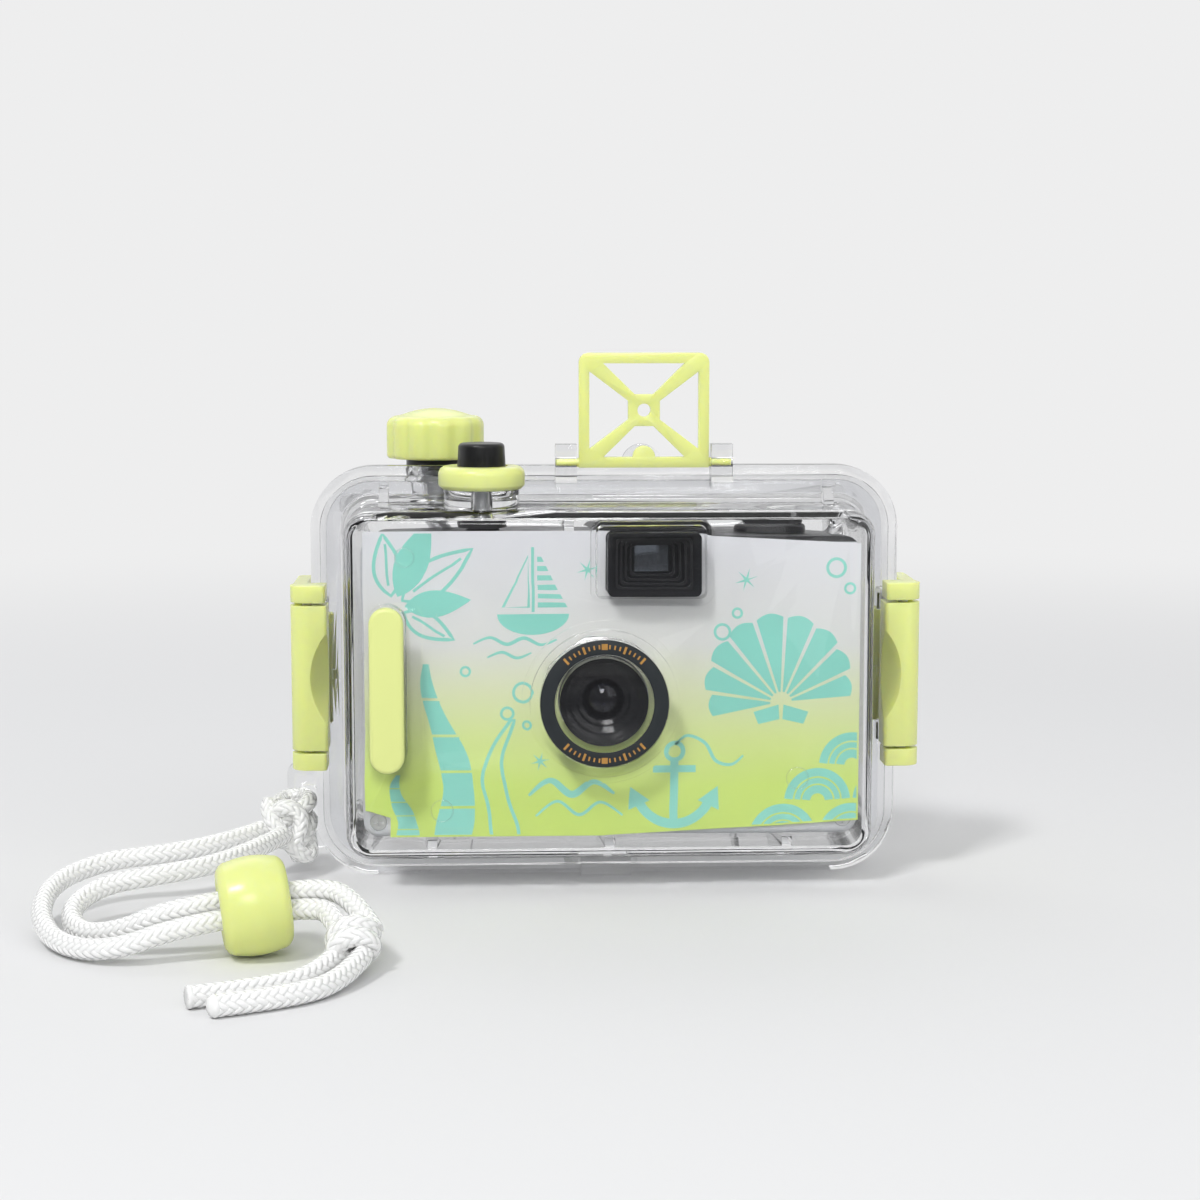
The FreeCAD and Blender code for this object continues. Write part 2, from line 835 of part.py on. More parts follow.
def gear(x, y, teeth, z0, z1, first_tooth):
    """A spur gear whose first tooth points along the angle first_tooth, in radians."""
    pitch_radius = gear_module * teeth / 2
    half = math.pi / (2 * teeth) - backlash / 2 / pitch_radius
    root = pitch_radius - 1.25 * gear_module
    tip = pitch_radius + gear_module
    base = pitch_radius * math.cos(math.radians(pressure_angle))
    radii = [root, max(base, root + 0.05), pitch_radius, (pitch_radius + tip) / 2, tip]
    points = []
    for i in range(teeth):
        middle = first_tooth + 2 * math.pi * i / teeth
        rising = [(r, middle - tooth_half_angle(r, pitch_radius, half)) for r in radii]
        falling = [(r, middle + tooth_half_angle(r, pitch_radius, half)) for r in reversed(radii)]
        points += [V(x + r * math.cos(a), y + r * math.sin(a), z0) for r, a in rising + falling]
    outline = Part.makePolygon(points + points[:1])
    return Part.Face(outline).extrude(V(0, 0, z1 - z0))


def mesh_angle():
    """The direction from the advance wheel to the drive gear."""
    return math.atan2(knob_y - wheel_y, knob_x - wheel_x)


def drive_gear():
    towards = mesh_angle() + math.pi
    wheel = gear(knob_x, knob_y, gear_teeth, wheel_bottom, wheel_bottom + wheel_thick,
                 towards + math.pi / gear_teeth)
    return wheel.cut(rod_z(knob_x, knob_y, shaft_radius, wheel_bottom - 1, wheel_bottom + wheel_thick + 1))


# Sports finder


def finder_frame():
    y0 = hinge_y - frame_thick / 2
    bottom = hinge_z - frame_bar / 2
    x0, x1 = frame_x - frame_half_width, frame_x + frame_half_width
    plate = rounded(x0, x1, bottom - 4, frame_top, frame_corner, y0, y0 + frame_thick)
    plate = plate.cut(box(x0 - 1, x1 + 1, y0 - 1, y0 + frame_thick + 1, bottom - 6, bottom))
    low, high = bottom + frame_bar, frame_top - frame_bar
    side = frame_half_width - frame_bar
    through = (0, frame_thick + 2, 0)

    def hole(points):
        return prism([(frame_x + dx, y0 - 1, z) for dx, z in points], through)

    top = hole([(-brace_top_half, high), (brace_top_half, high), (hub_flat_half, hub_z + hub_half),
                (-hub_flat_half, hub_z + hub_half)])
    base = hole([(-brace_top_half, low), (-hub_flat_half, hub_z - hub_half), (hub_flat_half, hub_z - hub_half),
                 (brace_top_half, low)])
    sides = [hole([(s * side, hub_z + brace_side_half), (s * side, hub_z - brace_side_half),
                   (s * hub_half, hub_z - hub_flat_half), (s * hub_half, hub_z + hub_flat_half)])
             for s in (-1, 1)]
    peep = rod_y(frame_x, hub_z, hub_hole, y0 - 1, y0 + frame_thick + 1)
    plate = plate.cut(top.multiFuse([base, peep] + sides))
    tab = rod_y(frame_x, low, tab_radius, y0, y0 + frame_thick)
    pins = [rod_x(hinge_y, hinge_z, finder_pin_radius, x0 - ear_gap - finder_pin_length, x0 + 1),
            rod_x(hinge_y, hinge_z, finder_pin_radius, x1 - 1, x1 + ear_gap + finder_pin_length)]
    heel = rod_x(hinge_y, hinge_z, frame_bar / 2, x0, x1)
    return joined(plate, tab.common(box(x0, x1, y0, y0 + frame_thick, bottom, hub_z)), heel, *pins)


# Latches


def latch_top():
    return latch_z + lever_height / 2 + knuckle_gap + knuckle_height


def latch_bottom():
    return latch_z - lever_height / 2 - knuckle_gap - knuckle_height


def jaw_outline(inner_x, z0, z1):
    """The rounded nose of a latch in front of the flange, from z0 up to z1."""
    rear = -front_flange - lever_rear_gap
    block = box(inner_x, lever_pin_x, lever_pin_y - lever_radius, rear, z0, z1)
    block = block.makeFillet(0.8, [e for e in block.Edges if e.BoundBox.ZLength > z1 - z0 - 0.01
                                   and abs(e.BoundBox.XMin - inner_x) < 1e-4
                                   and abs(e.BoundBox.YMin - (lever_pin_y - lever_radius)) < 1e-4])
    return joined(block, rod_z(lever_pin_x, lever_pin_y, lever_radius, z0, z1))


def latch_lever(side):
    z0, z1 = latch_z - lever_height / 2, latch_z + lever_height / 2
    lever = jaw_outline(lever_inner_x, z0, z1)
    edge_radius = ((scoop_height / 2) ** 2 + scoop_depth**2) / (2 * scoop_depth)
    ball_radius = math.hypot(edge_radius, scoop_offset)
    scoop = Part.makeSphere(ball_radius, V(lever_inner_x + scoop_depth - edge_radius,
                                           lever_pin_y - lever_radius - scoop_offset, latch_z))
    lever = lever.cut(scoop)
    bore = rod_z(lever_pin_x, lever_pin_y, latch_pin_radius + running_gap, z0 - 1, z1 + 1)
    return on_side(lever.cut(bore), side)


def latch_yoke(side):
    z0, z1 = latch_bottom(), latch_top()
    half = yoke_barrel_height / 2
    front = -front_flange
    web = box(yoke_web_inner, yoke_web_outer, front + rest_gap, yoke_web_rear, z0, z1)
    web = web.makeFillet(1.2, [e for e in web.Edges if e.BoundBox.ZLength > z1 - z0 - 0.01
                               and abs(e.BoundBox.XMin - yoke_web_outer) < 1e-4
                               and e.BoundBox.YMin > 0])
    arms = []
    for a, b in ((z0, z0 + knuckle_height), (z1 - knuckle_height, z1)):
        knuckle = jaw_outline(yoke_jaw_inner, a, b)
        side_bar = box(yoke_web_inner, yoke_web_outer, lever_pin_y, front + 1, a, b)
        arms += [knuckle, side_bar]
    barrel = rod_z(yoke_pin_x, yoke_pin_y, yoke_barrel_radius, latch_z - half, latch_z + half)
    bridge = box(yoke_pin_x, yoke_web_inner + yoke_web_thick / 2, yoke_pin_y - 0.2, yoke_web_rear,
                 latch_z - half, latch_z + half)
    yoke = joined(web, barrel, bridge, *arms)
    bores = [rod_z(lever_pin_x, lever_pin_y, latch_pin_radius, z0 - 1, z1 - latch_pin_end),
             rod_z(yoke_pin_x, yoke_pin_y, latch_pin_radius + running_gap, z0 - 1, z1 + 1)]
    return on_side(yoke.cut(bores[0].multiFuse(bores[1:])), side)


def latch_lever_pin(side):
    return on_side(rod_z(lever_pin_x, lever_pin_y, latch_pin_radius, latch_bottom() + rest_gap,
                         latch_top() - latch_pin_end), side)


def latch_hinge_pin(side):
    half = yoke_barrel_height / 2 + ear_pin_gap + ear_pin_height
    return on_side(rod_z(yoke_pin_x, yoke_pin_y, latch_pin_radius, latch_z - half, latch_z + half), side)


# Inner camera: covers


def cam_outline(inset, y0, y1):
    return rounded(cam_left + inset, cam_right - inset, cam_bottom + inset, cam_top - inset,
                   max(cam_corner - inset, 0.5), y0, y1)


def screw_places():
    return [(x, z) for x in (cam_left + screw_inset, cam_right - screw_inset)
            for z in (cam_bottom + screw_inset, cam_top - screw_inset)]


def cam_body(inset, y0, y1):
    """The body of the camera with the raised roof over its viewfinder, moved inwards by inset."""
    half = hump_half_width - inset
    hump = rounded(finder_x - half, finder_x + half, cam_top - 6, hump_top - inset, 1.6 - inset / 2, y0, y1)
    return joined(cam_outline(inset, y0, y1), hump)


def under_top(shape):
    """What lies below the top cover of a shape."""
    return shape.common(box(cam_left - 1, cam_right + 1, cam_front - 1, cam_back + 1, cam_bottom - 1, top_seam))


def cam_hollow(y0, y1):
    """The room inside the covers, open at the top where the top cover closes it."""
    low = cam_outline(cam_wall, y0, y1)
    high = box(cam_left + cam_wall, cam_right - cam_wall, y0, y1, cam_top - cam_corner - cam_wall, cam_top)
    return joined(low, high)


def camera_front_cover():
    cover = cam_outline(0, cam_front, cam_seam)
    cover = cover.makeFillet(1.2, edges_at_y(cover, cam_front))
    cover = cover.cut(cam_hollow(cam_front + cam_wall, cam_seam + 1))
    cuts = [rod_y(lens_x, lens_z, barrel_radius + running_gap, cam_front - 1, cam_front + cam_wall + 1),
            bezel_block(slip_gap / 2, cam_front - 1, cam_front + cam_wall + 1)]
    posts = []
    for x, z in screw_places():
        posts.append(rod_y(x, z, 2.6, cam_front + 1, chassis_front).common(cam_outline(0.5, cam_front + 1, 0)))
        cuts.append(rod_y(x, z, screw_head_radius + 0.1, cam_front - 1, cam_front + 1.0))
        cuts.append(rod_y(x, z, screw_radius + running_gap, cam_front - 1, chassis_front + 5))
    cover = joined(cover, *posts)
    return under_top(cover.cut(cuts[0].multiFuse(cuts[1:])))


def camera_back_door():
    door = cam_outline(0, cam_seam, cam_back)
    door = door.makeFillet(1.2, edges_at_y(door, cam_back))
    door = door.cut(cam_hollow(cam_seam - 1, cam_back - cam_wall))
    notch = box(cam_left - 1, wheel_x + 11.5, film_plane - 2.5, cam_back + 1, wheel_bottom - 0.9, cam_top + 1)
    eyepiece = eyepiece_block(slip_gap / 2, cam_back - cam_wall - 1, cam_back + 1)
    return under_top(door.cut(notch.multiFuse([eyepiece, film_window(0, cam_back - cam_wall - 1, cam_back + 1)])))


def camera_top_cover():
    """The top of the camera, with the raised roof over the viewfinder."""
    top = cam_body(0, cam_front, cam_back)
    top = top.makeFillet(1.2, edges_at_y(top, cam_front) + edges_at_y(top, cam_back))
    top = top.cut(cam_body(cam_wall, cam_front + cam_wall, cam_back - cam_wall))
    top = top.common(box(cam_left - 1, cam_right + 1, cam_front - 1, cam_back + 1, top_seam, hump_top + 1))
    return top.cut(bezel_block(slip_gap / 2, cam_front - 1, cam_front + cam_wall + 1).multiFuse([
        eyepiece_block(slip_gap / 2, cam_back - cam_wall - 1, cam_back + 1),
        rod_z(button_x, button_y, release_radius + slip_gap, top_seam - 1, cam_top + 1),
        rod_z(cartridge_x, cartridge_y, rewind_shaft_radius + running_gap, top_seam - 1, cam_top + 1)]))


def film_window(inset, y0, y1):
    half_width, half_height = film_window_half_width - inset, film_window_half_height - inset
    return rounded(film_window_x - half_width, film_window_x + half_width, lens_z - half_height,
                   lens_z + half_height, 1.5 - inset, y0, y1)


def film_window_pane():
    return film_window(running_gap, cam_back - cam_wall + rest_gap, cam_back - rest_gap)


def cover_screws():
    """Four cross-head screws that hold the front cover to the chassis."""
    screws = []
    for x, z in screw_places():
        head = rod_y(x, z, screw_head_radius, cam_front + 0.1, cam_front + 1.0)
        slots = box(x - 1.0, x + 1.0, cam_front, cam_front + 0.6, z - 0.2, z + 0.2).fuse(
            box(x - 0.2, x + 0.2, cam_front, cam_front + 0.6, z - 1.0, z + 1.0))
        shank = rod_y(x, z, screw_radius, cam_front + 0.9, chassis_front + 4)
        screws.append(joined(head, shank).cut(slots))
    return Part.makeCompound(screws)


def printed_sleeve():
    """The printed sheet on the front of the inner camera, with its right end cut narrower."""
    y0 = cam_front - sleeve_thick
    taper_x = lens_x
    corners = [(sleeve_left, y0, sleeve_bottom + sleeve_notch_height), (sleeve_left, y0, sleeve_top),
               (taper_x, y0, sleeve_top), (sleeve_right, y0, sleeve_top - sleeve_drop),
               (sleeve_right, y0, sleeve_bottom + sleeve_drop), (taper_x, y0, sleeve_bottom),
               (sleeve_left + sleeve_notch, y0, sleeve_bottom),
               (sleeve_left + sleeve_notch, y0, sleeve_bottom + sleeve_notch_height - sleeve_cut)]
    sheet = prism(corners, (0, sleeve_thick, 0))
    holes = rod_y(lens_x, lens_z, sleeve_hole, y0 - 1, cam_front + 1).fuse(
        bezel_block(slip_gap, y0 - 1, cam_front + 1))
    return sheet.cut(holes)


# Inner camera: chassis


def pyramid(x, z, front_half, back_width, back_height, y0, y1):
    """The light shaft from the shutter to the film gate."""
    near = Part.makePolygon([V(x + a * front_half, y0, z + b * front_half)
                             for a, b in ((-1, -1), (1, -1), (1, 1), (-1, 1), (-1, -1))])
    far = Part.makePolygon([V(x + a * back_width / 2, y1, z + b * back_height / 2)
                            for a, b in ((-1, -1), (1, -1), (1, 1), (-1, 1), (-1, -1))])
    return Part.makeLoft([near, far], True, True)


def camera_chassis():
    inset = cam_wall + slip_gap
    block = cam_outline(inset, chassis_front, film_plane)
    top = cam_top - inset
    spool_low, spool_high = spool_bottom - spool_room, spool_top + spool_room
    wheel_tip = wheel_pitch_radius + gear_module
    cuts = [
        pyramid(lens_x, lens_z, 4.5, gate_width, gate_height, chassis_front - 0.01, film_plane + 0.01),
        rod_z(wheel_x, wheel_y, spool_radius + spool_room, spool_low, spool_high),
        box(wheel_x - spool_radius - spool_room, wheel_x + spool_radius + spool_room, wheel_y, film_plane + 1,
            spool_low, spool_high),
        rod_z(wheel_x, wheel_y, wheel_tip + 0.4, wheel_bottom - 0.4, top + 1),
        box(wheel_x - wheel_tip - 3, wheel_x + wheel_tip + 0.4, wheel_y, film_plane + 1, wheel_bottom - 0.4, top + 1),
        rod_z(wheel_x, wheel_y, wheel_bore + running_gap, spool_bottom - journal_length, wheel_bottom),
        rod_z(sprocket_x, sprocket_y, sprocket_radius + sprocket_tooth + 0.4, sprocket_bottom - 0.5,
              sprocket_top + 0.5),
        rod_z(sprocket_x, sprocket_y, journal_radius + running_gap, sprocket_bottom - journal_length - slip_gap,
              sprocket_top + journal_length + slip_gap),
        rod_z(cartridge_x, cartridge_y, cartridge_radius, chamber_bottom, chamber_top),
        box(cartridge_x - cartridge_radius, cartridge_x + cartridge_radius, cartridge_y, film_plane + 1,
            chamber_bottom, chamber_top),
        rod_z(cartridge_x, cartridge_y, rewind_shaft_radius + running_gap, chamber_top - 1, top + 1),
        rod_z(button_x, button_y, release_radius + 0.5, release_floor(), top + 1),
        box(finder_x - 6.6, finder_x + 6.6, chassis_front - 1, film_plane + 1, finder_z - 5.2, top + 1),
    ]
    for x, z in screw_places():
        cuts.append(rod_y(x, z, screw_radius + 0.02, chassis_front - 1, chassis_front + 4.3))
    return block.cut(cuts[0].multiFuse(cuts[1:]))


# Inner camera: lens and shutter


def lens_barrel():
    """A deep black funnel that steps down to the lens, with a collar behind the cover."""
    profile = [(element_radius + 0.05, barrel_rear), (barrel_radius, barrel_rear),
               (barrel_radius, barrel_front), (barrel_radius - barrel_lip, barrel_front),
               (barrel_radius - barrel_lip, barrel_front + 0.8), (6.9, barrel_front + 1.6),
               (6.6, barrel_front + 2.4), (5.4, barrel_front + 2.9), (5.1, barrel_front + 3.6),
               (element_radius + 0.35, barrel_front + 3.9), (element_radius + 0.05, element_front)]
    points = [V(lens_x + r, y, lens_z) for r, y in profile]
    face = Part.Face(Part.makePolygon(points + points[:1]))
    body = face.revolve(V(lens_x, 0, lens_z), V(0, 1, 0), 360)
    inner = cam_front + cam_wall
    collar = tube_y(lens_x, lens_z, collar_radius, barrel_radius - 1, inner, inner + collar_thick)
    return joined(body, collar)


def domed_disc(y0, y1, bulge, radius):
    """A lens with its front face domed by bulge and its back flat, from y0 to y1."""
    ball_radius = (radius**2 + bulge**2) / (2 * bulge)
    ball = Part.makeSphere(ball_radius, V(lens_x, y0 + ball_radius, lens_z))
    return rod_y(lens_x, lens_z, radius, y0, y1).common(ball)


def front_element():
    return domed_disc(element_front - 0.4, element_front + 1.8, 1.2, element_radius)


def rear_element():
    return domed_disc(barrel_rear - 1.8, barrel_rear - 0.2, 0.8, element_radius)


def shutter_plate():
    y0 = chassis_front - shutter_plate_thick
    half = shutter_plate_half
    plate = rounded(lens_x - half, lens_x + half, lens_z - half, lens_z + half, 2.0, y0, chassis_front)
    px, pz = lens_x + blade_pivot_dx, lens_z + blade_pivot_dz
    pin = rod_y(px, pz, blade_pin_radius, y0 - 0.8, y0 + 0.1)
    return joined(plate, pin).cut(rod_y(lens_x, lens_z, aperture_radius, y0 - 1, chassis_front + 1))


def shutter_blade():
    y0 = chassis_front - shutter_plate_thick - blade_gap - blade_thick
    px, pz = lens_x + blade_pivot_dx, lens_z + blade_pivot_dz
    disc = rod_y(lens_x, lens_z, aperture_radius + 0.9, y0, y0 + blade_thick)
    hub = rod_y(px, pz, blade_hub_radius, y0, y0 + blade_thick)
    arm = prism([(lens_x - 0.8, y0, lens_z - 2.2), (px - 0.6, y0, pz - 1.5), (px + 0.4, y0, pz + 1.6),
                 (lens_x + 1.6, y0, lens_z + 1.8)], (0, blade_thick, 0))
    return joined(disc, hub, arm).cut(rod_y(px, pz, blade_pin_radius + running_gap, y0 - 1, y0 + 1))


# Inner camera: viewfinder


def bezel_block(grow, y0, y1):
    half_width, half_height = bezel_half_width + grow, bezel_half_height + grow
    return rounded(finder_x - half_width, finder_x + half_width, bezel_z - half_height,
                   bezel_z + half_height, 1.2 + grow, y0, y1)


def viewfinder_bezel():
    rear = cam_front + cam_wall + collar_thick
    block = bezel_block(0, bezel_front, rear)
    flange = bezel_block(0.9, cam_front + cam_wall, rear).common(cam_body(cam_wall + 0.1, -40, 40))
    wide, high = bezel_half_width - bezel_rim, bezel_half_height - bezel_rim
    near = Part.makePolygon([V(finder_x + a * wide, bezel_front - 0.01, bezel_z + b * high)
                             for a, b in ((-1, -1), (1, -1), (1, 1), (-1, 1), (-1, -1))])
    far = Part.makePolygon([V(finder_x + a * window_half_width, bezel_front + funnel_depth,
                              finder_z + b * window_half_height)
                            for a, b in ((-1, -1), (1, -1), (1, 1), (-1, 1), (-1, -1))])
    funnel = Part.makeLoft([near, far], True, True)
    throat = box(finder_x - window_half_width, finder_x + window_half_width, bezel_front + funnel_depth - 0.01,
                 rear + 1, finder_z - window_half_height, finder_z + window_half_height)
    return joined(block, flange).cut(funnel).cut(throat)


def viewfinder_window():
    y0 = bezel_front + funnel_depth + 0.05
    return box(finder_x - window_half_width, finder_x + window_half_width, y0,
               min(y0 + window_thick, cam_front + cam_wall + collar_thick), finder_z - window_half_height,
               finder_z + window_half_height)


def eyepiece_block(grow, y0, y1):
    half_width, half_height = eyepiece_half_width + grow, eyepiece_half_height + grow
    return rounded(finder_x - half_width, finder_x + half_width, finder_z - half_height,
                   finder_z + half_height, 1.8 + grow, y0, y1)


def eyepiece_frame():
    y0, y1 = cam_back - cam_wall, cam_back + eyepiece_rise
    flange = eyepiece_block(0.8, y0 - 0.8, y0)
    return joined(eyepiece_block(0, y0, y1), flange).cut(eyepiece_block(-eyepiece_rim, y0 - 2, y1 + 1))


def eyepiece_lens():
    y1 = cam_back + eyepiece_rise - 0.6
    return eyepiece_block(-eyepiece_rim, y1 - 1.2, y1)


# Inner camera: film transport


def advance_wheel():
    z0 = wheel_bottom
    wheel = gear(wheel_x, wheel_y, wheel_teeth, z0, z0 + wheel_thick, mesh_angle())
    hub = rod_z(wheel_x, wheel_y, 4.0, z0 + wheel_thick - 0.5, z0 + wheel_thick + 0.4)
    return joined(wheel, hub).cut(rod_z(wheel_x, wheel_y, wheel_bore, z0 - 1, z0 + wheel_seat))


def takeup_spool():
    core = rod_z(wheel_x, wheel_y, spool_core, spool_bottom, spool_top)
    low = rod_z(wheel_x, wheel_y, spool_radius, spool_bottom, spool_bottom + spool_rim)
    high = rod_z(wheel_x, wheel_y, spool_radius, spool_top - spool_rim, spool_top)
    shaft = rod_z(wheel_x, wheel_y, wheel_bore - 0.01, spool_bottom - journal_length + slip_gap,
                  wheel_bottom + wheel_seat - 0.01)
    slot = box(wheel_x - 0.6, wheel_x + 0.6, wheel_y - spool_core - 1, wheel_y + spool_core + 1,
               lens_z - gate_height / 2, lens_z + gate_height / 2).cut(
                   rod_z(wheel_x, wheel_y, wheel_bore + 0.6, spool_bottom, spool_top))
    return joined(core, low, high, shaft).cut(slot)


def film_sprocket():
    core = rod_z(sprocket_x, sprocket_y, sprocket_radius, sprocket_bottom, sprocket_top)
    waist = tube_z(sprocket_x, sprocket_y, sprocket_radius + 1, sprocket_radius - 1.6, lens_z - gate_height / 2,
                   lens_z + gate_height / 2)
    core = core.cut(waist)
    journal = rod_z(sprocket_x, sprocket_y, journal_radius, sprocket_bottom - journal_length,
                    sprocket_top + journal_length)
    row = film_height / 2 - 3.6
    teeth = []
    for i in range(sprocket_teeth):
        a = 360.0 * i / sprocket_teeth
        for z in (lens_z - row, lens_z + row):
            tooth = box(sprocket_radius - 0.3, sprocket_radius + sprocket_tooth, -0.7, 0.7, z - 0.9, z + 0.9)
            tooth.rotate(V(0, 0, 0), V(0, 0, 1), a)
            tooth.translate(V(sprocket_x, sprocket_y, 0))
            teeth.append(tooth)
    return joined(core, journal, *teeth)


def pressure_plate():
    half_width, half_height = gate_width / 2 + 2.5, film_height / 2
    return rounded(lens_x - half_width, lens_x + half_width, lens_z - half_height, lens_z + half_height, 1.0,
                   film_plane + rest_gap, film_plane + rest_gap + plate_thick)


def pressure_spring():
    """A bowed leaf between the pressure plate and the door."""
    near = film_plane + rest_gap + plate_thick
    far = cam_back - cam_wall - 0.02
    reach = leaf_half_length
    outer = Part.Arc(V(lens_x - reach, far, 0), V(lens_x, near + 0.02, 0), V(lens_x + reach, far, 0))
    inner = Part.Arc(V(lens_x + reach - leaf_thick, far, 0), V(lens_x, near + leaf_thick, 0),
                     V(lens_x - reach + leaf_thick, far, 0))
    ends = [Part.LineSegment(outer.EndPoint, inner.StartPoint), Part.LineSegment(inner.EndPoint, outer.StartPoint)]
    wire = Part.Wire([outer.toShape(), ends[0].toShape(), inner.toShape(), ends[1].toShape()])
    strip = Part.Face(wire).extrude(V(0, 0, leaf_height))
    strip.translate(V(0, 0, lens_z - leaf_height / 2))
    return strip


def rewind_knob():
    z0 = cam_top + slip_gap
    disc = rod_z(cartridge_x, cartridge_y, rewind_radius, z0, z0 + rewind_thick * 0.6)
    disc = disc.makeFillet(0.4, edges_at_z(disc, z0 + rewind_thick * 0.6))
    crank = box(cartridge_x - rewind_radius + 1.5, cartridge_x + rewind_radius - 1.5, cartridge_y - 1.4,
                cartridge_y + 1.4, z0 + rewind_thick * 0.5, z0 + rewind_thick)
    grip = rod_z(cartridge_x + rewind_radius - 2.6, cartridge_y, 2.0, z0 + rewind_thick * 0.5, z0 + rewind_thick)
    return joined(disc, crank, grip).cut(
        rod_z(cartridge_x, cartridge_y, rewind_shaft_radius, z0 - 1, z0 + rewind_seat))


def rewind_shaft():
    z0 = cam_top + slip_gap
    shaft = rod_z(cartridge_x, cartridge_y, rewind_shaft_radius, chamber_top - 5, z0 + rewind_seat)
    fork = box(cartridge_x - 3, cartridge_x + 3, cartridge_y - 0.8, cartridge_y + 0.8, chamber_top - 6,
               chamber_top - 3)
    return shaft.cut(fork)


def release_bottom():
    return release_top - release_height


def release_floor():
    return release_bottom() - release_coil_height - 2 * running_gap


def release_button():
    """The camera's own release, which the foot of the case's button presses."""
    head = rod_z(button_x, button_y, release_radius, release_bottom(), release_top)
    return head.makeFillet(0.6, edges_at_z(head, release_top))


def release_spring():
    return coil(button_x, button_y, release_coil_radius, release_wire, release_floor() + running_gap,
                release_bottom() - running_gap, 3)


# Cord


def cord_tube(name, route, diameter):
    """A tube along straight runs joined by the largest arcs that they allow."""
    points = [V(*p) for p in route]
    edges, radii = [], []
    here = points[0]
    length = 0.0
    for before, corner, after in zip(points, points[1:], points[2:]):
        back, forward = before - corner, after - corner
        tangent = 0.45 * min(back.Length, forward.Length)
        back.normalize()
        forward.normalize()
        turn = math.pi - back.getAngle(forward)
        radius = tangent / math.tan(turn / 2)
        start, end = corner + back * tangent, corner + forward * tangent
        inwards = back + forward
        inwards.normalize()
        middle = corner + inwards * (radius / math.cos(turn / 2) - radius)
        edges.append(Part.LineSegment(here, start).toShape())
        edges.append(Part.Arc(start, middle, end).toShape())
        length += (start - here).Length + radius * turn
        radii.append(radius)
        here = end
    edges.append(Part.LineSegment(here, points[-1]).toShape())
    length += (points[-1] - here).Length
    path = Part.Wire(edges)
    profile = Part.Wire(Part.makeCircle(diameter / 2, points[0], points[1] - points[0]))
    tube = path.makePipeShell([profile], True, False)
    section = math.pi * diameter**2 / 4
    print(name, "length %.1f" % length, "radii", ["%.1f" % r for r in radii],
          "volume / (section x length) %.4f" % (tube.Volume / (section * length)))
    return tube


def hitch_loop(z):
    """One turn of the cord round the bar of the strap lug."""
    bar_x = -(lug_outer_x + slot_outer_x) / 2
    bar_y = back_flange - lug_thick / 2
    half_x = (lug_outer_x - slot_outer_x) / 2 + hitch_diameter / 2 + 0.1
    half_y = lug_thick / 2 + hitch_diameter / 2 + 0.1
    r = hitch_diameter / 2 + 0.4
    corners = [(1, 1, 0), (-1, 1, 90), (-1, -1, 180), (1, -1, 270)]
    arcs = []
    for sx, sy, start in corners:
        cx, cy = bar_x + sx * (half_x - r), bar_y + sy * (half_y - r)
        at = [math.radians(start + step) for step in (0, 45, 90)]
        arcs.append(Part.Arc(*[V(cx + r * math.cos(a), cy + r * math.sin(a), z) for a in at]).toShape())
    edges = []
    for i, arc in enumerate(arcs):
        edges.append(arc)
        edges.append(Part.LineSegment(arc.Vertexes[1].Point, arcs[(i + 1) % 4].Vertexes[0].Point).toShape())
    profile = Part.Wire(Part.makeCircle(hitch_diameter / 2, arcs[0].Vertexes[0].Point, V(0, 1, 0)))
    return Part.Wire(edges).makePipeShell([profile], True, False)


def cord_hitch():
    """The cord's bight, hitched round the lug: two turns and the bundle in front of them."""
    middle = (slot_low + slot_high) / 2
    turns = [hitch_loop(middle + s * (hitch_diameter / 2 + 0.1)) for s in (-1, 1)]
    x, y, r = -lug_outer_x - 0.8, -3.9, 3.7
    bundle = [rod_z(x, y, r, middle - 4.6, middle - 1.2), Part.makeSphere(r, V(x, y, middle - 4.6)),
              Part.makeSphere(r, V(x, y, middle - 1.2)), Part.makeSphere(3.5, V(x + 2.4, y - 0.4, middle - 7.2))]
    return joined(bundle[0], *(bundle[1:] + turns))


def bead_turn():
    """Turns a shape that is drawn round the X axis at the origin to where the bead lies."""
    return FreeCAD.Placement(bead_centre, FreeCAD.Rotation(V(0, 0, 1), bead_yaw)
                             * FreeCAD.Rotation(V(0, 1, 0), -bead_pitch))


def cord_bead():
    """A barrel with rounded ends and a bore for the two strands."""
    end, shoulder = bead_length / 2, bead_shoulder
    rim = (end - 0.4, (bead_shoulder_radius + bead_end_radius) / 2 + 0.3)
    points = [V(end, 0, bead_end_radius), V(end, 0, bead_bore), V(-end, 0, bead_bore), V(-end, 0, bead_end_radius)]
    outline = [Part.LineSegment(a, b).toShape() for a, b in zip(points, points[1:])]
    outline += [Part.Arc(points[3], V(-rim[0], 0, rim[1]), V(-shoulder, 0, bead_shoulder_radius)).toShape(),
                Part.Arc(V(-shoulder, 0, bead_shoulder_radius), V(0, 0, bead_radius),
                         V(shoulder, 0, bead_shoulder_radius)).toShape(),
                Part.Arc(V(shoulder, 0, bead_shoulder_radius), V(rim[0], 0, rim[1]), points[0]).toShape()]
    bead = Part.Face(Part.Wire(outline)).revolve(V(0, 0, 0), V(1, 0, 0), 360)
    bead.Placement = bead_turn()
    return bead


def cord_knot():
    return Part.makeSphere(knot_radius, knot_centre)


# Pieces by node name


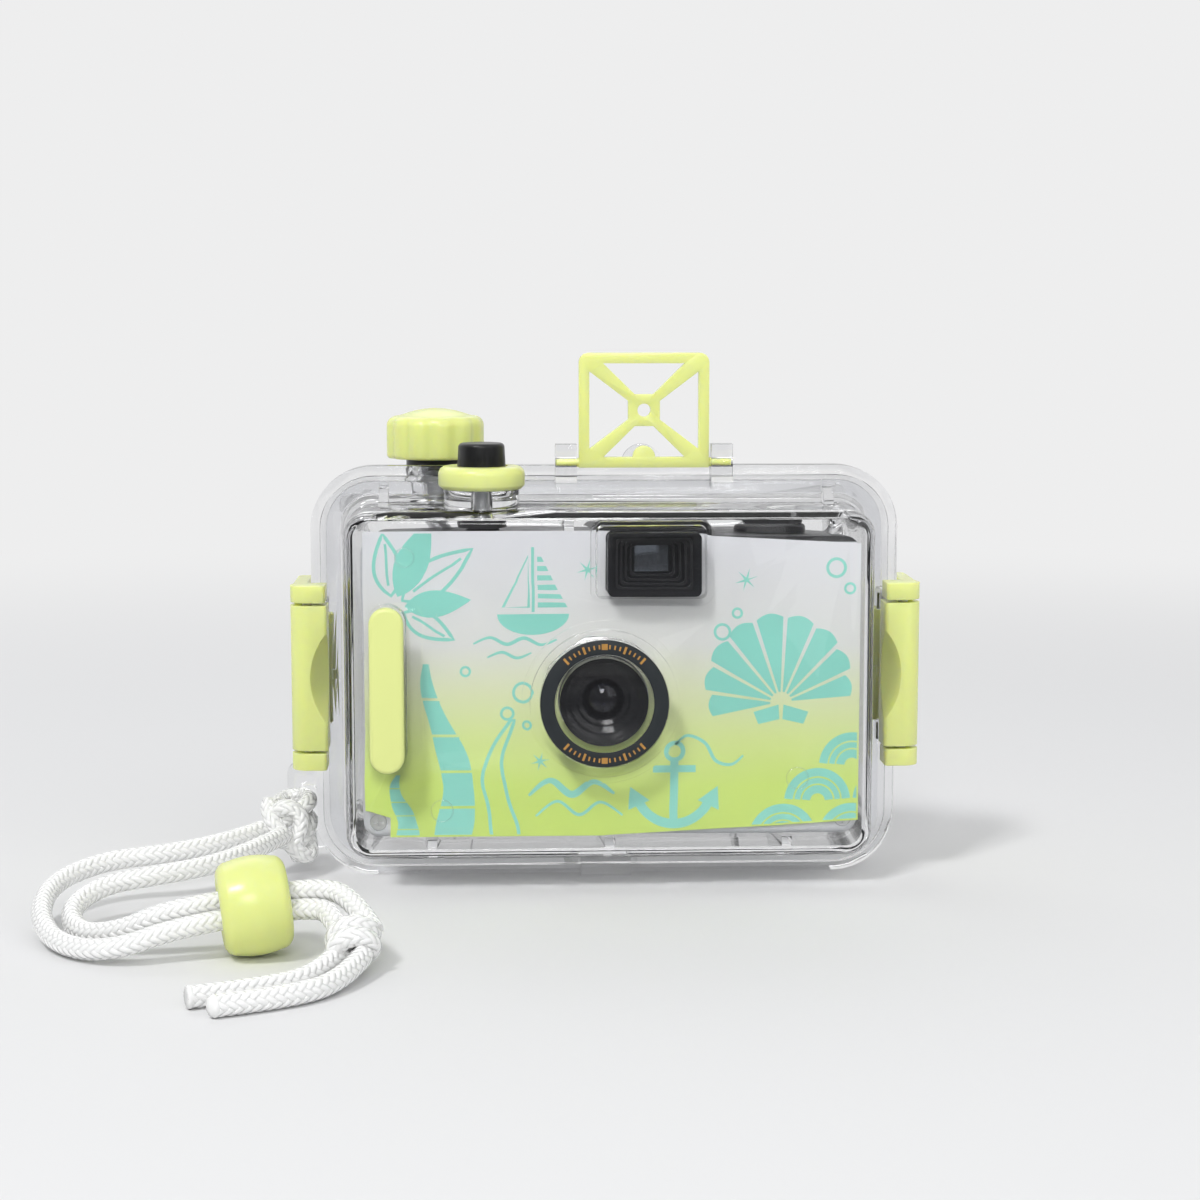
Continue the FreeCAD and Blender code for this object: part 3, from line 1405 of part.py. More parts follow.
def pieces():
    named = {
        "front_shell": front_shell(),
        "back_shell": back_shell(),
        "seal_ring": seal_ring(),
        "grip_pad": grip_pad(),
        "lens_trim_ring": lens_trim_ring(),
        "button_guard_ring": button_guard_ring(),
        "button_cap": button_cap(),
        "button_stem": button_stem(),
        "button_foot": button_foot(),
        "button_spring": button_spring(),
        "button_seal": button_seal(),
        "wind_knob": wind_knob(),
        "knob_shaft": knob_shaft(),
        "knob_clip": knob_clip(),
        "knob_washer": knob_washer(),
        "knob_seal": knob_seal(),
        "drive_gear": drive_gear(),
        "finder_frame": finder_frame(),
        "camera_front_cover": camera_front_cover(),
        "camera_back_door": camera_back_door(),
        "camera_top_cover": camera_top_cover(),
        "film_window_pane": film_window_pane(),
        "cover_screws": cover_screws(),
        "printed_sleeve": printed_sleeve(),
        "camera_chassis": camera_chassis(),
        "lens_barrel": lens_barrel(),
        "front_element": front_element(),
        "rear_element": rear_element(),
        "shutter_plate": shutter_plate(),
        "shutter_blade": shutter_blade(),
        "viewfinder_bezel": viewfinder_bezel(),
        "viewfinder_window": viewfinder_window(),
        "eyepiece_frame": eyepiece_frame(),
        "eyepiece_lens": eyepiece_lens(),
        "advance_wheel": advance_wheel(),
        "takeup_spool": takeup_spool(),
        "film_sprocket": film_sprocket(),
        "pressure_plate": pressure_plate(),
        "pressure_spring": pressure_spring(),
        "rewind_knob": rewind_knob(),
        "rewind_shaft": rewind_shaft(),
        "release_button": release_button(),
        "release_spring": release_spring(),
        "cord_strand_outer": cord_tube("cord_strand_outer", outer_route, cord_diameter),
        "cord_strand_inner": cord_tube("cord_strand_inner", inner_route, cord_diameter),
        "cord_tail_back": cord_tube("cord_tail_back", back_tail_route, cord_diameter),
        "cord_tail_front": cord_tube("cord_tail_front", front_tail_route, cord_diameter),
        "cord_hitch": cord_hitch(),
        "cord_bead": cord_bead(),
        "cord_knot": cord_knot(),
    }
    for word, side in (("left", -1), ("right", 1)):
        named["latch_lever_" + word] = latch_lever(side)
        named["latch_yoke_" + word] = latch_yoke(side)
        named["latch_lever_pin_" + word] = latch_lever_pin(side)
        named["latch_hinge_pin_" + word] = latch_hinge_pin(side)
    return named


os.makedirs("parts", exist_ok=True)
for node, shape in pieces().items():
    shape.exportStep("parts/" + node + ".step")
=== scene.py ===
import json
import math

import bmesh
import bpy
from mathutils import Matrix, Vector
from mathutils.geometry import tessellate_polygon


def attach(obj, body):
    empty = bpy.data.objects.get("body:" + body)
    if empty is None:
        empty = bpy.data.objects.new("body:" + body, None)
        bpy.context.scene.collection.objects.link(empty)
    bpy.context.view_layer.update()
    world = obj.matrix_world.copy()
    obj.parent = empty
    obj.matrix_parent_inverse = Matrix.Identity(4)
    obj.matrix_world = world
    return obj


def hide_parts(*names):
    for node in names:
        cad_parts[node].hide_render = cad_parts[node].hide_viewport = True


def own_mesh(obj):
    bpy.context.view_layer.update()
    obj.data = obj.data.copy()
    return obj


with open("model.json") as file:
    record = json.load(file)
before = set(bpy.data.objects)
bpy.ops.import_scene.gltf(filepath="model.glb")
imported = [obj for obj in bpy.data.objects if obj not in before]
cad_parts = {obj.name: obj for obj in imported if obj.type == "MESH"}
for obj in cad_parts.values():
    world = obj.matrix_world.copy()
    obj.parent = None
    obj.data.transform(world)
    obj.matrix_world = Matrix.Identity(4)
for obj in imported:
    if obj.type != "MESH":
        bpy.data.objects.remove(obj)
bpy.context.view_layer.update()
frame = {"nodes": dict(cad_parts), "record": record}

MM = 0.001
nodes = frame["nodes"]
node_body = {n: b for b, names in frame["record"]["behaviour"]["bodies"].items() for n in names}
node_slot = {s["node"]: s["material_slot"] for s in frame["record"]["subparts"]}


def mm(*values):
    return Vector(v * MM for v in values)


# Shader helpers


def srgb(r, g, b):
    shares = (v / 255 for v in (r, g, b))
    return tuple(v / 12.92 if v <= 0.04045 else ((v + 0.055) / 1.055) ** 2.4 for v in shares)


def map_range(tree, value, start, stop, low=0.0, high=1.0, smooth=False):
    """Takes a value that runs from start to stop to one that runs from low to high."""
    n = tree.nodes.new("ShaderNodeMapRange")
    if smooth:
        n.interpolation_type = "SMOOTHSTEP"
    for key, v in (("From Min", start), ("From Max", stop), ("To Min", low), ("To Max", high)):
        n.inputs[key].default_value = v
    tree.links.new(value, n.inputs["Value"])
    return n.outputs["Result"]


def mixed(tree, factor, other, chosen):
    """Two shaders, of which the chosen one takes the share that factor gives."""
    n = tree.nodes.new("ShaderNodeMixShader")
    for source, socket in zip((factor, other, chosen), n.inputs):
        tree.links.new(source, socket)
    return n.outputs[0]


def flat(tree, kind, colour, strength=None):
    """A plain shader of one colour."""
    n = tree.nodes.new(kind)
    n.inputs["Color"].default_value = (*colour, 1)
    if strength is not None:
        n.inputs["Strength"].default_value = strength
    return n.outputs[0]


# Camera, floor and light. The camera stands where the photo was taken from.

scene = bpy.context.scene
scene.view_settings.view_transform = "Standard"
camera = bpy.data.objects.new("camera", bpy.data.cameras.new("camera"))
scene.collection.objects.link(camera)
camera.location = mm(-23.75, -500.0, 120.0)
camera.rotation_euler = (math.radians(82.9), 0.0, math.radians(-2.6))
camera.data.lens = 72.3
camera.data.sensor_width = 36.0
camera.data.clip_start = 0.01
scene.camera = camera

BACKGROUND = (0.855, 0.855, 0.857)
SKY, SKY_BENT = (0.97, 0.98, 1.0), (0.95, 0.97, 1.0)
FILL_LIGHT, FRONT_SHINE, FRONT_BENT = 0.52, 0.12, 0.25
CARD, CARD_SHINE = (0.785, 0.785, 0.787), (0.15, 0.155, 0.165)
CARD_HALF = 4.0


def world_light():
    """White to the camera, and a soft fill. Shine and bent rays that turn to the front see it darker."""
    world = bpy.data.worlds.new("studio")
    scene.world = world
    world.use_nodes = True
    tree = world.node_tree
    tree.nodes.clear()
    out = tree.nodes.new("ShaderNodeOutputWorld")
    ray = tree.nodes.new("ShaderNodeLightPath")
    where = tree.nodes.new("ShaderNodeTexCoord")
    split = tree.nodes.new("ShaderNodeSeparateXYZ")
    tree.links.new(where.outputs["Generated"], split.inputs[0])

    def glow(colour, strength):
        return flat(tree, "ShaderNodeBackground", colour, strength)

    def rise(axis, start, stop):
        return map_range(tree, split.outputs[axis], start, stop)

    white = glow(BACKGROUND, 1.0)
    shine = mixed(tree, rise("Y", -0.35, 0.1), glow(SKY, FRONT_SHINE), white)
    shine = mixed(tree, rise("Z", 0.55, 0.8), shine, white)
    bent = mixed(tree, rise("Y", 0.3, 0.9), glow(SKY_BENT, FRONT_BENT), white)
    light = mixed(tree, ray.outputs["Is Glossy Ray"], glow(SKY, FILL_LIGHT), shine)
    light = mixed(tree, ray.outputs["Is Transmission Ray"], light, bent)
    light = mixed(tree, ray.outputs["Is Camera Ray"], light, white)
    tree.links.new(light, out.inputs["Surface"])


def area_light(name, place, aim, size, power):
    lamp = bpy.data.lights.new(name, "AREA")
    lamp.shape = "RECTANGLE"
    lamp.size, lamp.size_y = size
    lamp.energy = power
    obj = bpy.data.objects.new(name, lamp)
    scene.collection.objects.link(obj)
    obj.location = place
    obj.rotation_euler = (Vector(aim) - Vector(place)).to_track_quat("-Z", "Y").to_euler()


def floor():
    """White card that fades into the background. Shine sees it darker in front of the camera."""
    mesh = bpy.data.meshes.new("floor")
    r = CARD_HALF
    mesh.from_pydata([(-r, -r, 0), (r, -r, 0), (r, r, 0), (-r, r, 0)], [], [(0, 1, 2, 3)])
    obj = bpy.data.objects.new("floor", mesh)
    scene.collection.objects.link(obj)
    mat = bpy.data.materials.new("floor")
    mat.use_nodes = True
    tree = mat.node_tree
    tree.nodes.clear()
    out = tree.nodes.new("ShaderNodeOutputMaterial")
    where = tree.nodes.new("ShaderNodeTexCoord")
    split = tree.nodes.new("ShaderNodeSeparateXYZ")
    tree.links.new(where.outputs["Object"], split.inputs[0])
    far = tree.nodes.new("ShaderNodeVectorMath")
    far.operation = "LENGTH"
    tree.links.new(where.outputs["Object"], far.inputs[0])
    seen = mixed(tree, map_range(tree, far.outputs["Value"], 0.22, 0.7, smooth=True),
                 flat(tree, "ShaderNodeBsdfDiffuse", CARD), flat(tree, "ShaderNodeEmission", BACKGROUND))
    shine = mixed(tree, map_range(tree, split.outputs["Y"], -0.16, 0.02, 1.0, 0.0, smooth=True),
                  seen, flat(tree, "ShaderNodeEmission", CARD_SHINE))
    ray = tree.nodes.new("ShaderNodeLightPath")
    seen = mixed(tree, ray.outputs["Is Glossy Ray"], seen, shine)
    tree.links.new(seen, out.inputs["Surface"])
    mesh.materials.append(mat)


world_light()
area_light("key", (-0.62, -0.9, 1.38), (0, 0, 0.04), (0.26, 0.26), 11.0)
area_light("fill", (0.8, -0.9, 0.7), (0, 0, 0.05), (1.2, 1.2), 3.0)
area_light("front", (-0.1, -1.3, 0.75), (0, 0, 0.05), (0.4, 0.4), 4.7)
area_light("back", (-0.2, 0.9, 0.9), (0, 0, 0.06), (1.2, 0.6), 2.6)
floor()


# Materials


class Look:
    """A node material with one Principled shader."""

    def __init__(self, name, colour, roughness, **sockets):
        self.mat = bpy.data.materials.new(name)
        self.mat.use_nodes = True
        self.tree = self.mat.node_tree
        self.shader = self.tree.nodes["Principled BSDF"]
        self.shader.inputs["Base Color"].default_value = (*colour, 1)
        self.shader.inputs["Roughness"].default_value = roughness
        for key, value in sockets.items():
            self.shader.inputs[key.replace("_", " ")].default_value = value
        self.colour = colour
        self.where = self.tree.nodes.new("ShaderNodeTexCoord")

    def node(self, kind, **settings):
        """A new node. A setting is one of its properties, or else the value of one of its sockets."""
        n = self.tree.nodes.new(kind)
        for key, value in settings.items():
            if hasattr(n, key):
                setattr(n, key, value)
            else:
                n.inputs[key.replace("_", " ")].default_value = value
        return n

    def link(self, a, b):
        self.tree.links.new(a, b)

    def paint(self, colour):
        self.link(colour, self.shader.inputs["Base Color"])

    def noise(self, scale, detail=2.0, rough=0.5):
        n = self.node("ShaderNodeTexNoise", Scale=scale, Detail=detail, Roughness=rough)
        self.link(self.where.outputs["Object"], n.inputs["Vector"])
        return n.outputs["Fac"]

    def ramp(self, value, stops):
        """A colour ramp, whose stops are pairs of a place and a colour."""
        n = self.node("ShaderNodeValToRGB")
        elements = n.color_ramp.elements
        for i, (place, colour) in enumerate(stops):
            stop = elements[i] if i < 2 else elements.new(place)
            stop.position = place
            stop.color = (*colour, 1)
        self.link(value, n.inputs["Fac"])
        return n.outputs["Color"]

    def vary_colour(self, scale, amount):
        low = tuple(c * (1 - amount) for c in self.colour)
        high = tuple(min(1.0, c * (1 + amount)) for c in self.colour)
        self.paint(self.ramp(self.noise(scale), [(0.3, low), (0.7, high)]))
        return self

    def vary_roughness(self, scale, low, high):
        rough = map_range(self.tree, self.noise(scale, 3.0), 0.35, 0.65, low, high)
        self.link(rough, self.shader.inputs["Roughness"])
        return self

    def grain(self, scale, depth, strength=1.0):
        """A fine bump for the texture of the surface."""
        n = self.node("ShaderNodeBump", Strength=strength, Distance=depth)
        self.link(self.noise(scale, 3.0, 0.6), n.inputs["Height"])
        self.link(n.outputs["Normal"], self.shader.inputs["Normal"])
        return self


LIME = srgb(222, 230, 147)
AQUA = srgb(142, 215, 199)
GOLD = srgb(186, 138, 70)

looks = {}


def add_look(name, colour, roughness, **sockets):
    look = Look(name, colour, roughness, **sockets)
    looks[name] = look.mat
    return look


def add_clear_look(name, tint, shade, ior, roughness, bump, rim_shade):
    """Clear plastic: it bends light a little and its coat carries the shine of the surface. Its colour
    darkens, down to a given share, where a surface is seen nearly edge-on: painted shade that draws dark
    outlines at its edges. Rays from lamps pass straight through, so that what lies behind is lit."""
    look = add_look(name, tint, roughness, IOR=ior, Transmission_Weight=1.0, Coat_Weight=0.4, Coat_IOR=1.5,
                    Coat_Roughness=0.03).grain(45, bump, 0.2)
    # Painted shade: the tint darkens where the surface is seen nearly edge-on, to draw dark outlines
    edge = look.node("ShaderNodeLayerWeight", Blend=0.5)
    painted_edge_shade = tuple(c * rim_shade for c in tint)
    look.paint(look.ramp(edge.outputs["Facing"], [(0.66, tint), (0.98, painted_edge_shade)]))
    path = look.node("ShaderNodeLightPath")
    clear = flat(look.tree, "ShaderNodeBsdfTransparent", shade)
    both = mixed(look.tree, path.outputs["Is Shadow Ray"], look.shader.outputs[0], clear)
    look.link(both, look.tree.nodes["Material Output"].inputs["Surface"])


# The last number is the share down to which the painted edge shade darkens each clear look
add_clear_look("clear_plastic", (0.988, 0.989, 0.993), (0.985, 0.985, 0.988), 1.42, 0.0, 0.0002, 0.12)
add_clear_look("silicone", (0.93, 0.935, 0.95), (0.9, 0.9, 0.92), 1.08, 0.12, 0.0001, 0.8)
add_clear_look("window_plastic", (0.9, 0.92, 0.95), (0.9, 0.91, 0.93), 1.1, 0.02, 0.0001, 0.9)
add_look("yellow_plastic", LIME, 0.25, Subsurface_Weight=0.6, Subsurface_Scale=0.005,
         Subsurface_Radius=(1.0, 0.85, 0.25)).vary_roughness(1800, 0.245, 0.255).grain(3000, 0.000004, 0.1)
add_look("yellow_soft", LIME, 0.32).vary_roughness(250, 0.29, 0.36).grain(2500, 0.00002, 0.3)
add_look("black_plastic", (0.010, 0.010, 0.011), 0.36, Specular_IOR_Level=0.4) \
    .vary_roughness(400, 0.3, 0.42).grain(2200, 0.00002, 0.4)
add_look("black_gloss", (0.006, 0.006, 0.007), 0.16, Specular_IOR_Level=0.45) \
    .vary_roughness(300, 0.12, 0.2).grain(900, 0.00001, 0.2)
add_look("black_print", srgb(44, 48, 51), 0.4, Specular_IOR_Level=0.3) \
    .vary_colour(300, 0.05).grain(3000, 0.00001)
add_look("gold_print", GOLD, 0.42, Metallic=0.2).vary_colour(700, 0.1).grain(3000, 0.00001)
add_look("grey_plastic", (0.5, 0.51, 0.53), 0.45).vary_colour(200, 0.03).grain(1800, 0.00003, 0.5)
add_look("white_acetal", (0.78, 0.78, 0.75), 0.4).vary_colour(200, 0.02).grain(1800, 0.00002, 0.4)
add_look("steel", (0.74, 0.745, 0.75), 0.4, Metallic=1.0) \
    .vary_roughness(700, 0.34, 0.46).grain(2500, 0.00001, 0.3)
add_look("blued_steel", (0.03, 0.03, 0.035), 0.35, Metallic=0.6) \
    .vary_roughness(700, 0.3, 0.45).grain(2500, 0.00001, 0.3)
add_look("lens_glass", (0.13, 0.14, 0.18), 0.02, IOR=1.5, Transmission_Weight=1.0, Coat_Weight=0.25,
         Coat_Roughness=0.02, Coat_Tint=(0.8, 0.75, 1.0, 1.0)).grain(60, 0.00005, 0.1)
add_look("dark_window", (0.20, 0.22, 0.25), 0.03, IOR=1.3, Transmission_Weight=0.75, Coat_Weight=0.5,
         Coat_Roughness=0.03).grain(60, 0.00005, 0.1)
add_look("cord_braid", (0.88, 0.88, 0.87), 0.26, Coat_Weight=0.7, Coat_Roughness=0.08) \
    .grain(5200, 0.00003, 0.3)
add_look("aqua_print", AQUA, 0.3, Coat_Weight=0.3, Coat_Roughness=0.1) \
    .vary_colour(60, 0.03).grain(1400, 0.00001, 0.2)

# Places up the sheet, from its low edge to its top, and the print's colour at each
SHEET_STOPS = ((0.0, (196, 221, 104)), (0.2, (205, 228, 120)), (0.36, (214, 229, 152)),
               (0.5, (219, 226, 183)), (0.66, (221, 222, 217)), (1.0, (223, 224, 227)))
SHEET_LOW, SHEET_TOP, SHEET_WAVE = 0.012, 0.074, 0.004


def add_sheet_look():
    """The sheet's print runs from a pale paper white at the top to lime at the bottom."""
    look = add_look("printed_sheet", srgb(214, 214, 222), 0.3, Coat_Weight=0.3, Coat_Roughness=0.1)
    height = look.node("ShaderNodeSeparateXYZ")
    look.link(look.where.outputs["Object"], height.inputs[0])
    wave = look.node("ShaderNodeMath", operation="MULTIPLY_ADD")
    look.link(look.noise(14, 1.0), wave.inputs[0])
    wave.inputs[1].default_value = SHEET_WAVE
    look.link(height.outputs["Z"], wave.inputs[2])
    level = map_range(look.tree, wave.outputs[0], SHEET_LOW, SHEET_TOP)
    look.paint(look.ramp(level, [(place, srgb(*colour)) for place, colour in SHEET_STOPS]))
    look.grain(1400, 0.00001, 0.2)


add_sheet_look()


# Mesh helpers

WELD, SAME_POINT = 2e-6, 1e-7
SHARP_EDGE, FLAT_WITHIN, SMOOTH_WITHIN = 32.0, 0.6, 40    # degrees
EDGE_STEPS, TURNED_SIDES = 2, 96


def mesh_object(name, verts, faces, look, smooth=True):
    mesh = bpy.data.meshes.new(name)
    mesh.from_pydata([tuple(v) for v in verts], [], faces)
    mesh.materials.append(look)
    for p in mesh.polygons:
        p.use_smooth = smooth
    mesh.update()
    obj = bpy.data.objects.new(name, mesh)
    scene.collection.objects.link(obj)
    return obj


def placed(obj, body, slot, *replaced):
    """Gives a piece its body and hides the CAD nodes that it stands for. The slot is not used."""
    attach(obj, body)
    if replaced:
        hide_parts(*replaced)


def refined(node, bevel, look, backed_off=()):
    """A finer copy of a CAD node with rounded edges, which stands for it. Flat faces that touch another
    clear piece lie a hair back from it: backed_off lists their level along Y and the shift, in
    millimetres."""
    bm = bmesh.new()
    bm.from_mesh(nodes[node].data)
    bmesh.ops.remove_doubles(bm, verts=bm.verts, dist=WELD)
    for level, shift in backed_off:
        for v in bm.verts:
            if abs(v.co.y - level * MM) < WELD:
                v.co.y += shift * MM
    bmesh.ops.dissolve_limit(bm, angle_limit=math.radians(FLAT_WITHIN), verts=bm.verts, edges=bm.edges)
    edges = [e for e in bm.edges
             if len(e.link_faces) == 2 and e.calc_face_angle(0) > math.radians(SHARP_EDGE)]
    if edges and bevel:
        bmesh.ops.bevel(bm, geom=edges, offset=bevel * MM, offset_type="OFFSET", segments=EDGE_STEPS,
                        profile=0.5, affect="EDGES", clamp_overlap=True, miter_outer="ARC")
    for f in bm.faces:
        f.smooth = True
    mesh = bpy.data.meshes.new(node + "_skin")
    bm.to_mesh(mesh)
    bm.free()
    mesh.materials.append(look)
    mesh.set_sharp_from_angle(angle=math.radians(SMOOTH_WITHIN))
    obj = bpy.data.objects.new(node + "_skin", mesh)
    scene.collection.objects.link(obj)
    placed(obj, node_body[node], node_slot[node], node)
    return obj


def tidied(obj):
    """Joins points that coincide and turns all faces outwards."""
    bm = bmesh.new()
    bm.from_mesh(obj.data)
    bmesh.ops.remove_doubles(bm, verts=bm.verts, dist=SAME_POINT)
    bmesh.ops.recalc_face_normals(bm, faces=bm.faces)
    bm.to_mesh(obj.data)
    bm.free()
    return obj


def angles(count, shift=0.0):
    return [2 * math.pi * (k + shift) / count for k in range(count)]


def arc_points(cx, cy, r, start, stop, count):
    """Points along an arc, whose start and stop are in degrees."""
    turns = (math.radians(start + (stop - start) * i / count) for i in range(count + 1))
    return [(cx + r * math.cos(a), cy + r * math.sin(a)) for a in turns]


def ball_radius(half, rise):
    """Radius of a ball whose cap is twice half wide and rise high."""
    return (half ** 2 + rise ** 2) / (2 * rise)


def bands(base, rows, sides, closed=False, flip=False):
    """Faces between rings of points that follow one another from base on. Closed joins the last ring to
    the first one too, and flip turns the faces over."""
    faces = []
    for i in range(rows if closed else rows - 1):
        here, there = base + i * sides, base + (i + 1) % rows * sides
        for k in range(sides):
            m = (k + 1) % sides
            if flip:
                faces.append((here + k, there + k, there + m, here + m))
            else:
                faces.append((here + k, here + m, there + m, there + k))
    return faces


def tube(base, rows, sides):
    """Faces of a tube of rings, with a flat cap at each end."""
    last = base + (rows - 1) * sides
    caps = [tuple(base + k for k in reversed(range(sides))), tuple(last + k for k in range(sides))]
    return bands(base, rows, sides) + caps


def lathe(name, profile, matrix, look):
    """A turned piece: profile holds distances along the axis and from it, in millimetres."""
    verts = [matrix @ mm(along, r * math.cos(a), r * math.sin(a))
             for along, r in profile for a in angles(TURNED_SIDES)]
    faces = bands(0, len(profile), TURNED_SIDES, closed=True, flip=True)
    return tidied(mesh_object(name, verts, faces, look))


def facing_front(x, y, z):
    """Lays the axis of a turned piece along Y, through a point in millimetres."""
    return Matrix.Translation(mm(x, y, z)) @ Matrix.Rotation(math.pi / 2, 4, "Z")


# Cord: the route's points are those of the CAD route, in millimetres

OUTER_ROUTE = [(-69.0, -2.0, 10.8), (-76.5, -14.0, 10.3), (-88.0, -22.5, 9.7), (-101.2, -24.5, 8.8),
               (-110.1, -34.5, 6.8), (-110.0, -50.0, 4.0), (-103.6, -64.0, 2.0), (-92.5, -72.0, 3.1),
               (-80.82, -68.93, 6.86), (-56.0, -64.56, 9.51), (-52.4, -70.4, 8.0), (-50.6, -76.0, 6.0)]
INNER_ROUTE = [(-67.0, -7.5, 9.9), (-71.5, -20.5, 9.8), (-79.5, -33.0, 9.4), (-90.5, -38.5, 8.8),
               (-99.6, -38.5, 7.2), (-104.8, -47.0, 4.6), (-101.0, -58.0, 2.7), (-92.5, -64.0, 4.6),
               (-82.78, -66.04, 9.32), (-56.0, -61.32, 12.18), (-49.4, -65.4, 10.8), (-45.4, -74.2, 7.1)]
BACK_TAIL = [(-50.5, -77.1, 4.6), (-54.0, -85.0, 2.6), (-61.0, -92.7, 2.1), (-75.8, -98.2, 2.1)]
FRONT_TAIL = [(-46.9, -80.2, 4.2), (-50.0, -89.5, 2.2), (-58.2, -98.8, 2.1), (-70.9, -103.6, 2.1)]
CORD, LINE_STEP = 4.0, 0.25

# The braid's sizes on a cord that thick
THREAD_HALF_WIDTH, THREAD_HALF_THICK, THREAD_INSET, THREAD_SWING = 0.66, 0.21, 0.10, 0.12
CORE_INSET = 0.02
THREAD_SIDES, CORE_SIDES, CAP_SIDES = 6, 12, 32
CARRIERS, LAY = 8, 13.5


def centreline(points):
    """Points along the smooth line of a route, evenly spaced."""
    curve = bpy.data.curves.new("route", "CURVE")
    curve.dimensions = "3D"
    spline = curve.splines.new("NURBS")
    spline.points.add(len(points) - 1)
    for p, place in zip(spline.points, points):
        p.co = (*mm(*place), 1)
    spline.order_u = 3
    spline.use_endpoint_u = True
    spline.resolution_u = 16
    obj = bpy.data.objects.new("route", curve)
    scene.collection.objects.link(obj)
    mesh = bpy.data.meshes.new_from_object(obj)
    raw = [v.co.copy() for v in mesh.vertices]
    bpy.data.objects.remove(obj)
    bpy.data.meshes.remove(mesh)
    line = [raw[0]]
    for p in raw[1:]:
        if (p - line[-1]).length > SAME_POINT:
            line.append(p)
    lengths = [0.0]
    for a, b in zip(line, line[1:]):
        lengths.append(lengths[-1] + (b - a).length)
    count = max(2, round(lengths[-1] / (LINE_STEP * MM)))
    even, j = [], 0
    for i in range(count + 1):
        s = lengths[-1] * i / count
        while j < len(line) - 2 and lengths[j + 1] < s:
            j += 1
        t = (s - lengths[j]) / (lengths[j + 1] - lengths[j])
        even.append(line[j].lerp(line[j + 1], min(1.0, t)))
    return even


def carried_frames(line):
    """A direction and two normals at each point, turned as little as the line allows."""
    last = len(line) - 1
    tangents = [(line[min(i + 1, last)] - line[max(i - 1, 0)]).normalized() for i in range(last + 1)]
    side = tangents[0].cross(Vector((0, 0, 1)))
    if side.length < 1e-3:
        side = tangents[0].cross(Vector((0, 1, 0)))
    side.normalize()
    frames = []
    for i, t in enumerate(tangents):
        if i:
            side = tangents[i - 1].rotation_difference(t) @ side
            side = (side - t * side.dot(t)).normalized()
        frames.append((t, side, t.cross(side)))
    return frames


def sweep(verts, faces, centres, across, out, half_width, half_thick):
    """A flat oval thread along centres."""
    base = len(verts)
    for c, a, o in zip(centres, across, out):
        for ang in angles(THREAD_SIDES, 0.5):
            verts.append(c + a * (half_width * math.cos(ang)) + o * (half_thick * math.sin(ang)))
    faces += tube(base, len(centres), THREAD_SIDES)


def braid_into(verts, faces, line, diameter):
    """A two-over-two braid round line: threads that run each way round a plain core."""
    frames = carried_frames(line)
    thick = THREAD_HALF_THICK * MM * diameter / CORD
    width = THREAD_HALF_WIDTH * MM * diameter / CORD
    middle = diameter / 2 * MM - thick - THREAD_INSET * MM
    swing = THREAD_SWING * MM
    step = (line[1] - line[0]).length
    turn = 2 * math.pi / (LAY * MM)
    base = len(verts)
    for p, (t, s, u) in zip(line, frames):
        for ang in angles(CORE_SIDES):
            verts.append(p + (s * math.cos(ang) + u * math.sin(ang)) * (middle - CORE_INSET * MM))
    faces += tube(base, len(line), CORE_SIDES)
    for hand in (1, -1):
        for j in range(CARRIERS):
            centres, across, out = [], [], []
            for i, (p, (t, s, u)) in enumerate(zip(line, frames)):
                along = i * step
                ang = 2 * math.pi * j / CARRIERS + hand * turn * along
                crossing = turn * along / math.pi * CARRIERS
                phase = 2 * math.pi * (2 * j + hand * crossing - 0.5) / 4
                r = middle + hand * swing * math.cos(phase)
                radial = s * math.cos(ang) + u * math.sin(ang)
                around = t.cross(radial)
                go = (t + around * (hand * turn * r)).normalized()
                centres.append(p + radial * r)
                out.append(radial)
                across.append(go.cross(radial))
            sweep(verts, faces, centres, across, out, width, thick)


def cut_end(verts, faces, line, diameter, crown):
    """The melted end of a cord: a cap that holds the threads, as high in its middle as crown."""
    t, s, u = carried_frames(line)[-1]
    base = len(verts)
    rows = [(-0.9, 0.8), (-0.6, 0.98), (0.0, 1.03), (0.2, 0.97), (0.3 + 0.5 * crown, 0.75),
            (0.3 + 0.85 * crown, 0.4), (0.3 + crown, 0.12)]
    for along, share in rows:
        for ang in angles(CAP_SIDES):
            verts.append(line[-1] + t * (along * MM)
                         + (s * math.cos(ang) + u * math.sin(ang)) * (share * diameter / 2 * MM))
    faces += tube(base, len(rows), CAP_SIDES)


def strand(name, node, route, crown):
    """A stretch of the cord along its route. With a crown it ends in a melted cap."""
    verts, faces = [], []
    line = centreline(route)
    braid_into(verts, faces, line, CORD)
    if crown:
        cut_end(verts, faces, line, CORD, crown)
    obj = mesh_object(name, verts, faces, looks["cord_braid"])
    placed(obj, node_body[node], "cord_braid", node)
    return obj, line


def tied_turns(name, node, paths, diameter):
    """Turns of the cord, drawn tight, as one piece."""
    verts, faces = [], []
    for path in paths:
        braid_into(verts, faces, centreline(path), diameter)
    obj = mesh_object(name, verts, faces, looks["cord_braid"])
    placed(obj, "case", "cord_braid", node)
    return obj


KNOT_CENTRE, KNOT_AXIS = (-48.9, -76.9, 5.6), (0.05, -0.93, -0.36)
KNOT_TURNS, KNOT_STEPS, KNOT_PITCH, KNOT_CORD = 2.15, 9, 3.5, 3.9
# How far out the turns lie, then the two points beyond them at each end, which tuck in
KNOT_REACH = (3.05, 2.0, 0.6)


